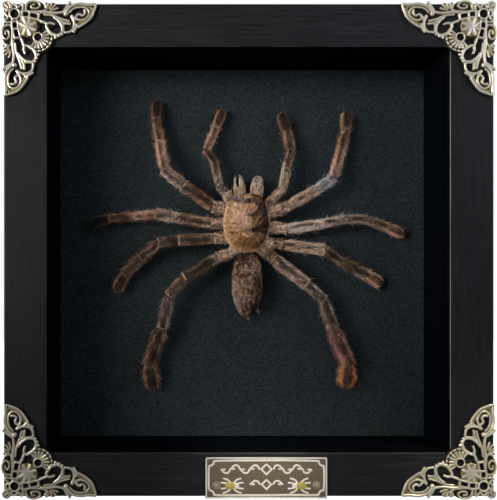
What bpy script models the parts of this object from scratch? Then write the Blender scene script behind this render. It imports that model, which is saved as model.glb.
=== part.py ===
"""A tarantula specimen pinned in a black box frame, with brass filigree corners and a brass plate.

Metres, +Z up. The frame hangs on a wall that is the plane Y = 0 and faces -Y. The origin is the middle
of the top rail's back face, where the frame bears on the wall.
"""

import math

import bmesh
import bpy
from mathutils import Matrix, Vector

MM = 0.001

# How round things are drawn
SMOOTH_ANGLE = math.radians(40)
SKIN_SMOOTH_ANGLE = math.radians(60)
HOLE_SIDES = 12
SMALL_SIDES = 10

# Frame
WIDTH = 200.0 * MM
HEIGHT = 201.0 * MM
DEPTH = 35.0 * MM
RAIL_FACE = 18.0 * MM
LIP_WIDTH = 3.0 * MM
LIP_DEPTH = 4.0 * MM
EDGE_ROUND = 0.7 * MM
EDGE_STEPS = 3
GAP = 0.3 * MM
MITRE_GAP = 0.15 * MM

# Rails are wider in front than behind, where the rabbet is cut
RAIL_BACK = RAIL_FACE - LIP_WIDTH
TOP_Z = RAIL_BACK / 2
CENTRE_Z = TOP_Z - HEIGHT / 2
FRONT_Y = -DEPTH

# What is stacked in the rabbet, from the front
GLASS_THICK = 2.0 * MM
SPACER_DEPTH = 20.6 * MM
SPACER_THICK = 2.6 * MM
MOUNT_THICK = 3.0 * MM
BACKING_THICK = 2.0 * MM
GLASS_FRONT_Y = FRONT_Y + LIP_DEPTH + GAP
SPACER_FRONT_Y = GLASS_FRONT_Y + GLASS_THICK + GAP
BOARD_Y = SPACER_FRONT_Y + SPACER_DEPTH + GAP
BACKING_FRONT_Y = BOARD_Y + MOUNT_THICK + GAP
BACKING_BACK_Y = BACKING_FRONT_Y + BACKING_THICK

# The rabbet and the panels that lie in it
RABBET_WIDTH = WIDTH - 2 * RAIL_BACK
RABBET_HEIGHT = HEIGHT - 2 * RAIL_BACK
PANEL_WIDTH = RABBET_WIDTH - 2 * GAP
PANEL_HEIGHT = RABBET_HEIGHT - 2 * GAP

# Framer's points
POINT_LENGTH = 9.0 * MM
POINT_WIDTH = 6.0 * MM
POINT_THICK = 0.5 * MM
POINT_SPREAD = 42.0 * MM
POINT_TIP_SHARE = 0.4

# Sawtooth hanger, riveted to the backing
HANGER_LENGTH = 45.0 * MM
HANGER_HEIGHT = 9.0 * MM
HANGER_THICK = 0.6 * MM
HANGER_CHAMFER = 2.7 * MM
HANGER_DROP = 12.0 * MM
HANGER_TEETH = 8
TOOTH_DEPTH = 1.6 * MM
HANGER_WINDOW = (22.0 * MM, 3.4 * MM)
RIVET_SPREAD = 18.0 * MM
RIVET_RADIUS = 1.0 * MM
RIVET_HEAD_RADIUS = 2.2 * MM
RIVET_HEAD_THICK = 0.5 * MM
RIVET_CROWN_SHARE = 0.6
RIVET_LENGTH = 1.6 * MM

# Brass plate on the bottom rail, a little right of the middle
PLATE_WIDTH = 49.6 * MM
PLATE_HEIGHT = 17.0 * MM
PLATE_THICK = 0.7 * MM
PLATE_RELIEF = 0.3 * MM
PLATE_CORNER = 0.8 * MM
PLATE_CORNER_STEPS = 2
PLATE_X = 7.0 * MM
PLATE_OVERHANG = 0.6 * MM
BORDER_INSET = 1.2 * MM
BORDER_WIDTH = 0.7 * MM
BORDER_NOTCH = 1.9 * MM
BORDER_NOTCH_STEPS = 3
PLATE_NAIL_SPREAD = 20.3 * MM
PLATE_NAIL_DROP = 3.0 * MM
PLATE_NAIL_RADIUS = 0.7 * MM
PLATE_NAIL_HEAD = 1.2 * MM
PLATE_NAIL_HEAD_THICK = 0.4 * MM
PLATE_NAIL_SHOULDER = (0.84 * MM, 0.12 * MM)
PLATE_NAIL_LENGTH = 6.0 * MM

# Filigree corners, sized along one arm from the frame's outer corner
CORNER_THICK = 1.1 * MM

# Half of the filigree's edge, in millimetres along the arm and in from the frame's edge
FILIGREE_EDGE = [
    (0.2, 0.2),
    (1.7, -0.5),
    (3.4, 0.5),
    (6.0, 1.0),
    (7.6, 0.1),
    (9.3, 0.9),
    (11.0, -0.3),
    (13.6, -0.6),
    (16.0, 0.1),
    (17.1, 1.2),
    (17.9, -0.3),
    (20.4, -0.3),
    (22.9, 1.7),
    (22.6, 3.2),
    (24.3, 3.3),
    (26.4, -0.5),
    (28.0, -0.2),
    (27.1, 1.5),
    (29.1, 0.6),
    (31.6, 0.1),
    (35.4, 0.7),
    (37.4, 0.0),
    (38.4, 1.0),
    (37.3, 2.2),
    (37.1, 4.0),
    (35.7, 6.5),
    (33.1, 8.9),
    (30.6, 10.5),
    (29.7, 12.5),
    (27.9, 13.0),
    (24.6, 12.9),
    (23.6, 14.3),
    (21.4, 14.5),
    (20.9, 16.6),
    (20.5, 18.2),
]
FILIGREE_NOSE = (19.6, 19.6)

# Openings of one arm, each mirrored to the other arm
FILIGREE_OPENINGS = {
    "lattice_first": [(8.3, 3.7), (10.2, 4.0), (10.1, 5.7), (8.2, 5.4)],
    "lattice_second": [(11.3, 4.3), (13.5, 4.8), (13.3, 6.6), (11.2, 6.1)],
    "beside_star": [(15.1, 8.9), (17.0, 9.1), (17.4, 11.1), (17.9, 12.1), (16.2, 12.2), (15.1, 10.9)],
    "leaf": [
        (15.3, 5.6),
        (16.7, 5.1),
        (19.9, 5.9),
        (21.8, 7.6),
        (22.9, 10.0),
        (22.5, 11.5),
        (21.3, 12.1),
        (20.0, 11.6),
        (19.5, 10.5),
        (20.1, 9.7),
        (20.8, 9.1),
        (19.3, 8.3),
        (17.4, 8.0),
        (16.1, 7.1),
    ],
    "triangle": [(24.6, 9.0), (27.2, 9.2), (26.6, 11.0), (25.2, 11.4)],
    "almond": [
        (26.9, 4.2),
        (28.4, 3.0),
        (30.3, 2.2),
        (32.6, 2.0),
        (34.4, 2.8),
        (34.8, 4.3),
        (34.0, 6.0),
        (32.5, 6.9),
        (30.8, 6.8),
        (29.1, 6.1),
        (27.9, 5.1),
    ],
}
RING_HOLES = [(4.6, 1.6), (14.1, 1.45)]

# Tarantula, in millimetres right of and above the middle of the board, and in front of it
CARAPACE_CENTRE = (1.1, 12.9)
CARAPACE_WIDTH = 20.8
CARAPACE_LENGTH = 25.6
CARAPACE_BASE = 4.6
CARAPACE_TOP = 13.0
CARAPACE_FRONT_SHARE = 0.74
CARAPACE_BLUNT_FRONT = 4.4
CARAPACE_BLUNT_BACK = 2.3
CARAPACE_FACETS = (20, 12)
STERNUM_CENTRE = (1.7, 12.6)
STERNUM_SIZE = (13.0, 17.0, 5.6)
STERNUM_BLUNT = 2.2
STERNUM_CLEAR = 1.2
STERNUM_FACETS = (16, 8)
ABDOMEN_CENTRE = (1.9, -14.6)
ABDOMEN_WIDTH = 14.4
ABDOMEN_LENGTH = 29.0
ABDOMEN_THICK = 11.4
ABDOMEN_BLUNT_FRONT = 3.0
ABDOMEN_BLUNT_BACK = 2.5
ABDOMEN_BACK_SHARE = 0.72
ABDOMEN_CLEAR = 0.8
ABDOMEN_TILT = 2.0
ABDOMEN_FACETS = (18, 12)
PEDICEL = ((1.6, 1.5), (1.7, -3.5), 2.6)
PEDICEL_HEIGHTS = (6.4, 6.4)
CHELICERAE = (
    ((-1.3, 23.5), (-1.9, 34.9), 3.15),
    ((5.4, 23.5), (6.6, 34.5), 3.15),
)
CHELICERA_HEIGHTS = (6.6, 5.2)
SPINNERETS = (
    ((1.6, -26.0), (2.6, -30.2), 0.9),
    ((5.2, -24.5), (7.2, -27.2), 0.8),
)
SPINNERET_HEIGHTS = (5.4, 4.4)

# A short limb's thickness along its length, as (share of the length, share of the radius)
SHORT_LIMB_SWELL = [(0.0, 0.9), (0.45, 1.0), (0.8, 0.93), (0.94, 0.72), (1.0, 0.4)]

# Joints of each limb from the body to the tip: right, above, in front of the board, and thickness at the
# middle of the segment that ends there
LIMBS = {
    "palp_left": [
        (-4.6, 20.5, 6.0, 0.0),
        (-7.5, 25.9, 6.2, 5.2),
        (-10.9, 30.0, 6.6, 4.2),
        (-13.0, 39.4, 7.0, 3.6),
        (-16.4, 44.9, 5.8, 3.7),
        (-12.2, 55.3, 3.6, 3.8),
        (-8.7, 64.0, 2.5, 4.1),
    ],
    "leg_first_left": [
        (-3.0, 17.2, 6.0, 0.0),
        (-8.6, 19.4, 6.2, 5.6),
        (-13.4, 20.0, 6.8, 5.6),
        (-26.4, 29.0, 8.6, 5.6),
        (-34.9, 36.0, 8.2, 5.2),
        (-36.9, 48.8, 5.8, 4.4),
        (-38.7, 59.4, 3.8, 4.1),
        (-38.5, 68.0, 2.6, 4.5),
    ],
    "leg_second_left": [
        (-3.0, 12.4, 6.0, 0.0),
        (-9.4, 12.8, 6.2, 5.4),
        (-14.2, 12.7, 6.8, 5.0),
        (-28.6, 14.8, 8.6, 4.9),
        (-38.3, 16.8, 8.0, 4.9),
        (-48.1, 16.0, 5.6, 3.8),
        (-59.2, 15.2, 3.8, 4.0),
        (-67.4, 13.2, 2.6, 4.4),
    ],
    "leg_third_left": [
        (-2.6, 7.8, 6.0, 0.0),
        (-8.6, 6.2, 6.2, 5.4),
        (-12.8, 6.2, 6.8, 5.0),
        (-28.6, 5.1, 8.4, 4.9),
        (-37.2, 4.2, 7.8, 4.6),
        (-45.0, -2.4, 5.4, 4.3),
        (-52.6, -9.6, 3.6, 4.6),
        (-56.6, -17.8, 2.6, 5.0),
    ],
    "leg_fourth_left": [
        (-1.4, 3.6, 6.0, 0.0),
        (-6.2, -0.6, 6.2, 5.2),
        (-11.2, -2.2, 6.8, 5.0),
        (-26.2, -11.3, 8.6, 5.2),
        (-32.6, -18.9, 8.2, 4.9),
        (-36.0, -33.2, 5.6, 5.0),
        (-41.8, -49.8, 3.8, 5.6),
        (-40.0, -60.4, 2.8, 5.8),
    ],
    "palp_right": [
        (8.8, 19.6, 6.0, 0.0),
        (12.5, 23.0, 6.2, 4.4),
        (17.3, 27.8, 6.6, 3.7),
        (18.7, 36.8, 7.0, 3.8),
        (21.0, 44.7, 5.8, 4.1),
        (19.7, 53.4, 3.6, 4.5),
        (17.0, 62.6, 2.6, 4.8),
    ],
    "leg_first_right": [
        (6.6, 16.2, 6.0, 0.0),
        (13.2, 17.8, 6.2, 5.6),
        (19.4, 20.2, 6.8, 5.2),
        (31.3, 27.1, 8.6, 4.7),
        (39.0, 32.5, 8.2, 4.5),
        (43.0, 44.3, 5.8, 4.4),
        (45.8, 54.4, 3.8, 4.4),
        (46.4, 63.0, 2.6, 4.8),
    ],
    "leg_second_right": [
        (6.8, 11.4, 6.0, 0.0),
        (13.4, 11.1, 6.2, 5.6),
        (18.6, 10.2, 6.8, 5.2),
        (34.5, 12.3, 8.6, 4.9),
        (44.0, 14.4, 8.0, 4.3),
        (54.4, 14.5, 5.6, 4.0),
        (63.6, 11.5, 3.8, 4.3),
        (72.2, 7.9, 2.6, 4.5),
    ],
    "leg_third_right": [
        (6.4, 6.8, 6.0, 0.0),
        (12.2, 4.0, 6.2, 5.4),
        (16.6, 3.3, 6.8, 5.2),
        (35.0, 1.0, 8.4, 5.0),
        (42.7, -4.3, 7.8, 4.8),
        (49.0, -7.3, 5.4, 4.8),
        (55.6, -10.2, 3.6, 5.0),
        (62.3, -14.2, 2.8, 5.3),
    ],
    "leg_fourth_right": [
        (5.2, 3.4, 6.0, 0.0),
        (9.6, 0.2, 6.2, 5.2),
        (13.3, -2.8, 6.8, 5.2),
        (27.2, -14.1, 8.6, 5.8),
        (34.7, -20.7, 8.2, 4.8),
        (39.3, -33.2, 5.6, 5.2),
        (46.6, -49.3, 3.8, 6.2),
        (46.0, -59.4, 2.9, 6.4),
    ],
}
JOINT_SHARE = 0.84
TIP_SHARE = 0.5
TOE_REACH = 0.6
LIMB_SIDES = 8
SHORT_SEGMENT = 7.5 * MM
SHORT_SWELL_AT = (0.5,)
LONG_SWELL_AT = (0.3, 0.7)

# Steel insect pin through the carapace and into the board
PIN_PLACE = (0.8, 15.9)
PIN_RADIUS = 0.25 * MM
PIN_HEAD_RADIUS = 0.8 * MM
PIN_HEAD_FRONT = 16.2
PIN_HEAD_STEPS = 6
PIN_HEAD_STEP = math.radians(30)
PIN_POINT_LENGTH = 1.0 * MM
PIN_HOLE_FRONT = 20.0 * MM

COLLECTION_NAME = "framed_tarantula_specimen"
WELD = 1e-6


def clear_scene():
    for obj in list(bpy.data.objects):
        bpy.data.objects.remove(obj, do_unlink=True)


def make_collection(name, hidden=False):
    collection = bpy.data.collections.new(name)
    bpy.context.scene.collection.children.link(collection)
    collection.hide_render = hidden
    return collection


def make_material(name, colour, roughness, metallic=0.0):
    material = bpy.data.materials.new(name)
    material.use_nodes = True
    shader = material.node_tree.nodes["Principled BSDF"]
    shader.inputs["Base Color"].default_value = (*colour, 1.0)
    shader.inputs["Roughness"].default_value = roughness
    shader.inputs["Metallic"].default_value = metallic
    material.diffuse_color = (*colour, 1.0)
    return material


def add_mesh(name, shape, collection, material=None, smooth_angle=None):
    """Turns a bmesh into an object, shaded smooth below an angle if one is given."""
    mesh = bpy.data.meshes.new(name)
    shape.to_mesh(mesh)
    shape.free()
    if smooth_angle is not None:
        mesh.shade_smooth()
        mesh.set_sharp_from_angle(angle=smooth_angle)
    obj = bpy.data.objects.new(name, mesh)
    collection.objects.link(obj)
    if material:
        mesh.materials.append(material)
    return obj


def add_cutter(name, shape, cutters):
    """A helper for a Boolean, left out of the render."""
    obj = add_mesh(name, shape, cutters)
    obj.hide_render = True
    obj.display_type = "WIRE"
    return obj


def box_shape(size, centre):
    shape = bmesh.new()
    bmesh.ops.create_cube(shape, size=1.0)
    bmesh.ops.scale(shape, vec=size, verts=shape.verts)
    bmesh.ops.translate(shape, vec=centre, verts=shape.verts)
    return shape


def rod_shape(radius, back_y, front_y, place, sides):
    """A cylinder along Y at (x, z)."""
    shape = bmesh.new()
    bmesh.ops.create_cone(
        shape, cap_ends=True, segments=sides, radius1=radius, radius2=radius, depth=back_y - front_y
    )
    bmesh.ops.rotate(shape, verts=shape.verts, matrix=Matrix.Rotation(math.radians(90), 3, "X"))
    bmesh.ops.translate(shape, vec=(place[0], (back_y + front_y) / 2, place[1]), verts=shape.verts)
    return shape


def boolean(obj, other, operation):
    modifier = obj.modifiers.new(f"{operation.lower()} {other.name}", "BOOLEAN")
    modifier.operation = operation
    modifier.object = other
    modifier.solver = "EXACT"


def mesh_from_curve(curve_object):
    """The curve's mesh with its caps welded on. The curve is removed."""
    bpy.context.view_layer.update()
    graph = bpy.context.evaluated_depsgraph_get()
    mesh = bpy.data.meshes.new_from_object(curve_object.evaluated_get(graph))
    shape = bmesh.new()
    shape.from_mesh(mesh)
    bmesh.ops.remove_doubles(shape, verts=shape.verts, dist=WELD)
    bmesh.ops.recalc_face_normals(shape, faces=shape.faces)
    bmesh.ops.transform(shape, matrix=curve_object.matrix_world, verts=shape.verts)
    bpy.data.meshes.remove(mesh)
    bpy.data.objects.remove(curve_object, do_unlink=True)
    return shape


def round_loop(centre, radius, sides):
    """Points round a circle, for an outline."""
    turns = [2 * math.pi * i / sides for i in range(sides)]
    return [(centre[0] + radius * math.cos(a), centre[1] + radius * math.sin(a)) for a in turns]


def outline_shape(loops, thickness, back_y):
    """A flat plate in XZ from closed loops, the first its edge and the rest its openings."""
    curve = bpy.data.curves.new("outline", "CURVE")
    curve.dimensions = "2D"
    curve.fill_mode = "BOTH"
    curve.extrude = thickness / 2
    for loop in loops:
        spline = curve.splines.new("POLY")
        spline.points.add(len(loop) - 1)
        for point, (x, z) in zip(spline.points, loop):
            point.co = (x, z, 0.0, 1.0)
        spline.use_cyclic_u = True
    obj = bpy.data.objects.new("outline", curve)
    bpy.context.scene.collection.objects.link(obj)
    obj.rotation_euler = (math.radians(90), 0.0, 0.0)
    obj.location = (0.0, back_y - thickness / 2, 0.0)
    return mesh_from_curve(obj)


def rail_shape(length, lip_sign):
    """A straight rail along X with its outer edge at Z = 0, mitred at both ends.

    lip_sign is 1 where the opening is above the rail and -1 where it is below.
    """
    shape = box_shape(
        (length, DEPTH, RAIL_FACE),
        (0.0, FRONT_Y / 2, lip_sign * RAIL_FACE / 2),
    )
    front_edges = [
        edge
        for edge in shape.edges
        if all(abs(vert.co.y - FRONT_Y) < WELD for vert in edge.verts)
        and abs(edge.verts[0].co.x - edge.verts[1].co.x) > WELD
    ]
    bmesh.ops.bevel(
        shape, geom=front_edges, offset=EDGE_ROUND, segments=EDGE_STEPS, profile=0.5, affect="EDGES"
    )
    for side in (-1, 1):
        corner = Vector((side * (length / 2 - MITRE_GAP), 0.0, 0.0))
        normal = Vector((side, 0.0, lip_sign)).normalized()
        cut = bmesh.ops.bisect_plane(
            shape,
            geom=shape.verts[:] + shape.edges[:] + shape.faces[:],
            plane_co=corner,
            plane_no=normal,
            clear_outer=True,
        )
        rim = [item for item in cut["geom_cut"] if isinstance(item, bmesh.types.BMEdge)]
        bmesh.ops.edgeloop_fill(shape, edges=rim)
    bmesh.ops.recalc_face_normals(shape, faces=shape.faces)
    return shape


def build_rails(parts, cutters, paint):
    rabbet = box_shape(
        (RABBET_WIDTH, DEPTH, RABBET_HEIGHT),
        (0.0, FRONT_Y + LIP_DEPTH + DEPTH / 2, CENTRE_Z),
    )
    rabbet_cutter = add_cutter("rabbet_cutter", rabbet, cutters)
    places = {
        "rail_top": (WIDTH, 0.0, (0.0, TOP_Z)),
        "rail_right": (HEIGHT, 90.0, (WIDTH / 2, CENTRE_Z)),
        "rail_bottom": (WIDTH, 180.0, (0.0, CENTRE_Z - HEIGHT / 2)),
        "rail_left": (HEIGHT, 270.0, (-WIDTH / 2, CENTRE_Z)),
    }
    for name, (length, turn, (x, z)) in places.items():
        shape = rail_shape(length, -1)
        place = Matrix.Translation((x, 0.0, z)) @ Matrix.Rotation(math.radians(turn), 4, "Y")
        bmesh.ops.transform(shape, matrix=place, verts=shape.verts)
        rail = add_mesh(name, shape, parts, paint, SMOOTH_ANGLE)
        boolean(rail, rabbet_cutter, "DIFFERENCE")


def build_panels(parts, cutters, materials):
    panels = {
        "glass_pane": (GLASS_FRONT_Y, GLASS_THICK, materials["glass"]),
        "mount_board": (BOARD_Y, MOUNT_THICK, materials["paper"]),
        "backing_board": (BACKING_FRONT_Y, BACKING_THICK, materials["hardboard"]),
    }
    made = {}
    for name, (front_y, thickness, material) in panels.items():
        size = (PANEL_WIDTH, thickness, PANEL_HEIGHT)
        shape = box_shape(size, (0.0, front_y + thickness / 2, CENTRE_Z))
        made[name] = add_mesh(name, shape, parts, material)
    pin_x, pin_z = board_place(*PIN_PLACE)
    hole = rod_shape(
        PIN_RADIUS + GAP, BOARD_Y + MOUNT_THICK + GAP, BOARD_Y - GAP, (pin_x, pin_z), HOLE_SIDES
    )
    boolean(made["mount_board"], add_cutter("pin_hole_in_board", hole, cutters), "DIFFERENCE")
    for name, hole in rivet_holes().items():
        boolean(made["backing_board"], add_cutter(name, hole, cutters), "DIFFERENCE")


def build_spacers(parts, material):
    """Strips that stand in the rabbet behind the glass, the upright ones between the level ones."""
    middle_y = SPACER_FRONT_Y + SPACER_DEPTH / 2
    level = (PANEL_WIDTH, SPACER_DEPTH, SPACER_THICK)
    upright = (SPACER_THICK, SPACER_DEPTH, PANEL_HEIGHT - 2 * (SPACER_THICK + GAP))
    reach_x = (PANEL_WIDTH - SPACER_THICK) / 2
    reach_z = (PANEL_HEIGHT - SPACER_THICK) / 2
    places = {
        "spacer_top": (level, 0.0, reach_z),
        "spacer_bottom": (level, 0.0, -reach_z),
        "spacer_left": (upright, -reach_x, 0.0),
        "spacer_right": (upright, reach_x, 0.0),
    }
    for name, (size, x, z) in places.items():
        add_mesh(name, box_shape(size, (x, middle_y, CENTRE_Z + z)), parts, material)


def build_points(parts, steel):
    """Flat steel points driven into the rabbet's walls, close behind the backing."""
    y = BACKING_BACK_Y + GAP + POINT_THICK / 2
    index = 0
    for turn in range(4):
        reach = (RABBET_HEIGHT if turn % 2 == 0 else RABBET_WIDTH) / 2 - GAP - POINT_LENGTH / 2
        for side in (-1, 1):
            index += 1
            blade = box_shape((POINT_WIDTH, POINT_THICK, POINT_LENGTH), (0.0, 0.0, 0.0))
            for vert in blade.verts:
                if vert.co.z < 0:
                    vert.co.x *= POINT_TIP_SHARE
            spin = Matrix.Rotation(math.radians(90 * turn), 4, "Y")
            place = Matrix.Translation((0.0, y, CENTRE_Z)) @ spin
            place = place @ Matrix.Translation((side * POINT_SPREAD, 0.0, reach))
            bmesh.ops.transform(blade, matrix=place, verts=blade.verts)
            add_mesh(f"framer_point_{index}", blade, parts, steel)


def hanger_centre_z():
    return CENTRE_Z + RABBET_HEIGHT / 2 - HANGER_DROP


def rivet_holes():
    """Holes through the backing for the hanger's rivets."""
    return {
        f"rivet_hole_{side}": rod_shape(
            RIVET_RADIUS + GAP,
            BACKING_BACK_Y + GAP,
            BACKING_FRONT_Y - GAP,
            (sign * RIVET_SPREAD, hanger_centre_z()),
            HOLE_SIDES,
        )
        for side, sign in (("left", -1), ("right", 1))
    }


def build_hanger(parts, steel):
    """A pressed strip with a toothed window, and the rivets through its ends."""
    half_length, half_height = HANGER_LENGTH / 2, HANGER_HEIGHT / 2
    z = hanger_centre_z()
    chamfer = HANGER_CHAMFER
    edge = [
        (-half_length, z - half_height + chamfer),
        (-half_length + chamfer, z - half_height),
        (half_length - chamfer, z - half_height),
        (half_length, z - half_height + chamfer),
        (half_length, z + half_height - chamfer),
        (half_length - chamfer, z + half_height),
        (-half_length + chamfer, z + half_height),
        (-half_length, z + half_height - chamfer),
    ]
    window_width, window_height = HANGER_WINDOW
    step = window_width / HANGER_TEETH
    top = z + window_height / 2
    teeth = []
    for i in range(HANGER_TEETH):
        x = -window_width / 2 + i * step
        teeth.append((x, top - TOOTH_DEPTH))
        teeth.append((x + step / 2, top))
    teeth.append((window_width / 2, top - TOOTH_DEPTH))
    window = [(-window_width / 2, z - window_height / 2), *teeth, (window_width / 2, z - window_height / 2)]
    back_y = BACKING_BACK_Y + GAP + HANGER_THICK
    holes = [round_loop((sign * RIVET_SPREAD, z), RIVET_RADIUS + GAP, HOLE_SIDES) for sign in (-1, 1)]
    shape = outline_shape([edge, window, *holes], HANGER_THICK, back_y)
    add_mesh("sawtooth_hanger", shape, parts, steel)
    for side, sign in (("left", -1), ("right", 1)):
        place = (sign * RIVET_SPREAD, z)
        profile = [
            (0.0, 0.0),
            (RIVET_HEAD_RADIUS * RIVET_CROWN_SHARE, 0.0),
            (RIVET_HEAD_RADIUS, -RIVET_HEAD_THICK),
            (RIVET_RADIUS, -RIVET_HEAD_THICK),
            (RIVET_RADIUS, -RIVET_HEAD_THICK - RIVET_LENGTH),
            (0.0, -RIVET_HEAD_THICK - RIVET_LENGTH),
        ]
        back = back_y + GAP + RIVET_HEAD_THICK
        turned_part(
            f"hanger_rivet_{side}", profile, (place[0], back, place[1]), parts, steel, HOLE_SIDES
        )


def turned_part(name, profile, place, parts, material, steps, to_front=False):
    """A profile of (radius, height) turned about its axis, its top laid to the back or the front."""
    shape = bmesh.new()
    verts = [shape.verts.new((radius, 0.0, height)) for radius, height in profile]
    edges = [shape.edges.new(pair) for pair in zip(verts, verts[1:])]
    bmesh.ops.spin(
        shape,
        geom=verts + edges,
        cent=(0.0, 0.0, 0.0),
        axis=(0.0, 0.0, 1.0),
        angle=2 * math.pi,
        steps=steps,
        use_merge=True,
    )
    bmesh.ops.remove_doubles(shape, verts=shape.verts, dist=WELD)
    bmesh.ops.recalc_face_normals(shape, faces=shape.faces)
    turn = math.radians(90 if to_front else -90)
    matrix = Matrix.Translation(place) @ Matrix.Rotation(turn, 4, "X")
    bmesh.ops.transform(shape, matrix=matrix, verts=shape.verts)
    return add_mesh(name, shape, parts, material, SMOOTH_ANGLE)


def notched_loop(inset, notch):
    """The plate's edge moved in by an inset, each corner cut by a quarter circle."""
    half_width, half_height = PLATE_WIDTH / 2 - inset, PLATE_HEIGHT / 2 - inset
    loop = []
    for corner, (sign_x, sign_z) in enumerate(((1, -1), (1, 1), (-1, 1), (-1, -1))):
        for i in range(BORDER_NOTCH_STEPS + 1):
            share = i / BORDER_NOTCH_STEPS
            angle = (1 - share if corner % 2 == 0 else share) * math.pi / 2
            loop.append(
                (
                    sign_x * (half_width - notch * math.sin(angle)),
                    sign_z * (half_height - notch * math.cos(angle)),
                )
            )
    return loop


def plate_centre_z():
    return CENTRE_Z - HEIGHT / 2 - PLATE_OVERHANG + PLATE_HEIGHT / 2


def build_plate(parts, cutters, brass, nail_brass):
    """A thin brass plate with a raised border line, nailed to the bottom rail."""
    back_y = FRONT_Y - GAP
    centre = (PLATE_X, back_y - PLATE_THICK / 2, plate_centre_z())
    shape = box_shape((PLATE_WIDTH, PLATE_THICK, PLATE_HEIGHT), centre)
    corner_edges = [
        edge for edge in shape.edges if abs(edge.verts[0].co.y - edge.verts[1].co.y) > WELD
    ]
    bmesh.ops.bevel(
        shape,
        geom=corner_edges,
        offset=PLATE_CORNER,
        segments=PLATE_CORNER_STEPS,
        profile=0.5,
        affect="EDGES",
    )
    plate = add_mesh("name_plate", shape, parts, brass)
    line_depth = PLATE_RELIEF + PLATE_THICK / 2
    loops = [
        notched_loop(BORDER_INSET, BORDER_NOTCH),
        notched_loop(BORDER_INSET + BORDER_WIDTH, BORDER_NOTCH),
    ]
    loops = [[(PLATE_X + x, plate_centre_z() + z) for x, z in loop] for loop in loops]
    border = outline_shape(loops, line_depth, back_y - PLATE_THICK / 2)
    boolean(plate, add_cutter("plate_border", border, cutters), "UNION")
    for side, sign in (("left", -1), ("right", 1)):
        place = (PLATE_X + sign * PLATE_NAIL_SPREAD, plate_centre_z() - PLATE_NAIL_DROP)
        hole = rod_shape(
            PLATE_NAIL_RADIUS + GAP, back_y + GAP, back_y - 3 * PLATE_THICK, place, HOLE_SIDES
        )
        boolean(plate, add_cutter(f"plate_hole_{side}", hole, cutters), "DIFFERENCE")
        into_rail = rod_shape(
            PLATE_NAIL_RADIUS + GAP, FRONT_Y + PLATE_NAIL_LENGTH + GAP, FRONT_Y - GAP, place, HOLE_SIDES
        )
        cutter = add_cutter(f"nail_hole_{side}", into_rail, cutters)
        boolean(bpy.data.objects["rail_bottom"], cutter, "DIFFERENCE")
        head_front = back_y - PLATE_THICK - GAP - PLATE_NAIL_HEAD_THICK
        shoulder_radius, shoulder_drop = PLATE_NAIL_SHOULDER
        profile = [
            (0.0, 0.0),
            (shoulder_radius, -shoulder_drop),
            (PLATE_NAIL_HEAD, -PLATE_NAIL_HEAD_THICK),
            (PLATE_NAIL_RADIUS, -PLATE_NAIL_HEAD_THICK),
            (PLATE_NAIL_RADIUS, -PLATE_NAIL_LENGTH),
            (0.0, -PLATE_NAIL_LENGTH - PLATE_NAIL_RADIUS),
        ]
        head_place = (place[0], head_front, place[1])
        turned_part(
            f"plate_nail_{side}", profile, head_place, parts, nail_brass, SMALL_SIDES, to_front=True
        )


def filigree_loops():
    """The edge and openings of one filigree corner, in metres from the frame's outer corner."""
    across = [(inward, along) for along, inward in reversed(FILIGREE_EDGE)]
    loops = [[*FILIGREE_EDGE, FILIGREE_NOSE, *across[:-1]]]
    for opening in FILIGREE_OPENINGS.values():
        loops.append(opening)
        loops.append([(inward, along) for along, inward in reversed(opening)])
    for middle, radius in RING_HOLES:
        loops.append(round_loop((middle, middle), radius, SMALL_SIDES))
    return [[(along * MM, -inward * MM) for along, inward in loop] for loop in loops]


def build_corners(parts, brass):
    """The same pressed corner four times, mirrored to fit each corner of the frame."""
    corners = {
        "corner_top_left": (-1, 1),
        "corner_top_right": (1, 1),
        "corner_bottom_left": (-1, -1),
        "corner_bottom_right": (1, -1),
    }
    for name, (sign_x, sign_z) in corners.items():
        loops = [
            [
                (sign_x * (WIDTH / 2 - x), CENTRE_Z + sign_z * (HEIGHT / 2 + z))
                for x, z in loop
            ]
            for loop in filigree_loops()
        ]
        add_mesh(name, outline_shape(loops, CORNER_THICK, FRONT_Y - GAP), parts, brass)


def board_place(right, above):
    """World X and Z of a place in millimetres from the middle of the board."""
    return right * MM, CENTRE_Z + above * MM


def on_board(right, above, front):
    """World point at a height in millimetres in front of the board."""
    x, z = board_place(right, above)
    return Vector((x, BOARD_Y - front * MM, z))


def tube_shape(points):
    """A closed tube through (place, radius) points."""
    curve = bpy.data.curves.new("tube", "CURVE")
    curve.dimensions = "3D"
    curve.bevel_depth = 1.0
    curve.bevel_resolution = (LIMB_SIDES - 4) // 2
    curve.use_fill_caps = True
    spline = curve.splines.new("POLY")
    spline.points.add(len(points) - 1)
    for point, (place, radius) in zip(spline.points, points):
        point.co = (*place, 1.0)
        point.radius = radius
    obj = bpy.data.objects.new("tube", curve)
    bpy.context.scene.collection.objects.link(obj)
    return mesh_from_curve(obj)


def limb_shape(joints):
    """A jointed limb: each segment swells in its middle and narrows at its joints."""
    points = []
    for (*near, _), (*far, thickness) in zip(joints, joints[1:]):
        start, end = on_board(*near), on_board(*far)
        radius = thickness / 2 * MM
        if not points:
            points.append((start, radius * JOINT_SHARE))
        is_short = (end - start).length < SHORT_SEGMENT
        for share in SHORT_SWELL_AT if is_short else LONG_SWELL_AT:
            points.append((start.lerp(end, share), radius))
        points.append((end, radius * JOINT_SHARE))
    tip, radius = points.pop()
    before = points[-1][0]
    points.append((before.lerp(tip, TOE_REACH), radius))
    points.append((tip, radius * TIP_SHARE))
    return tube_shape(points)


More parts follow.
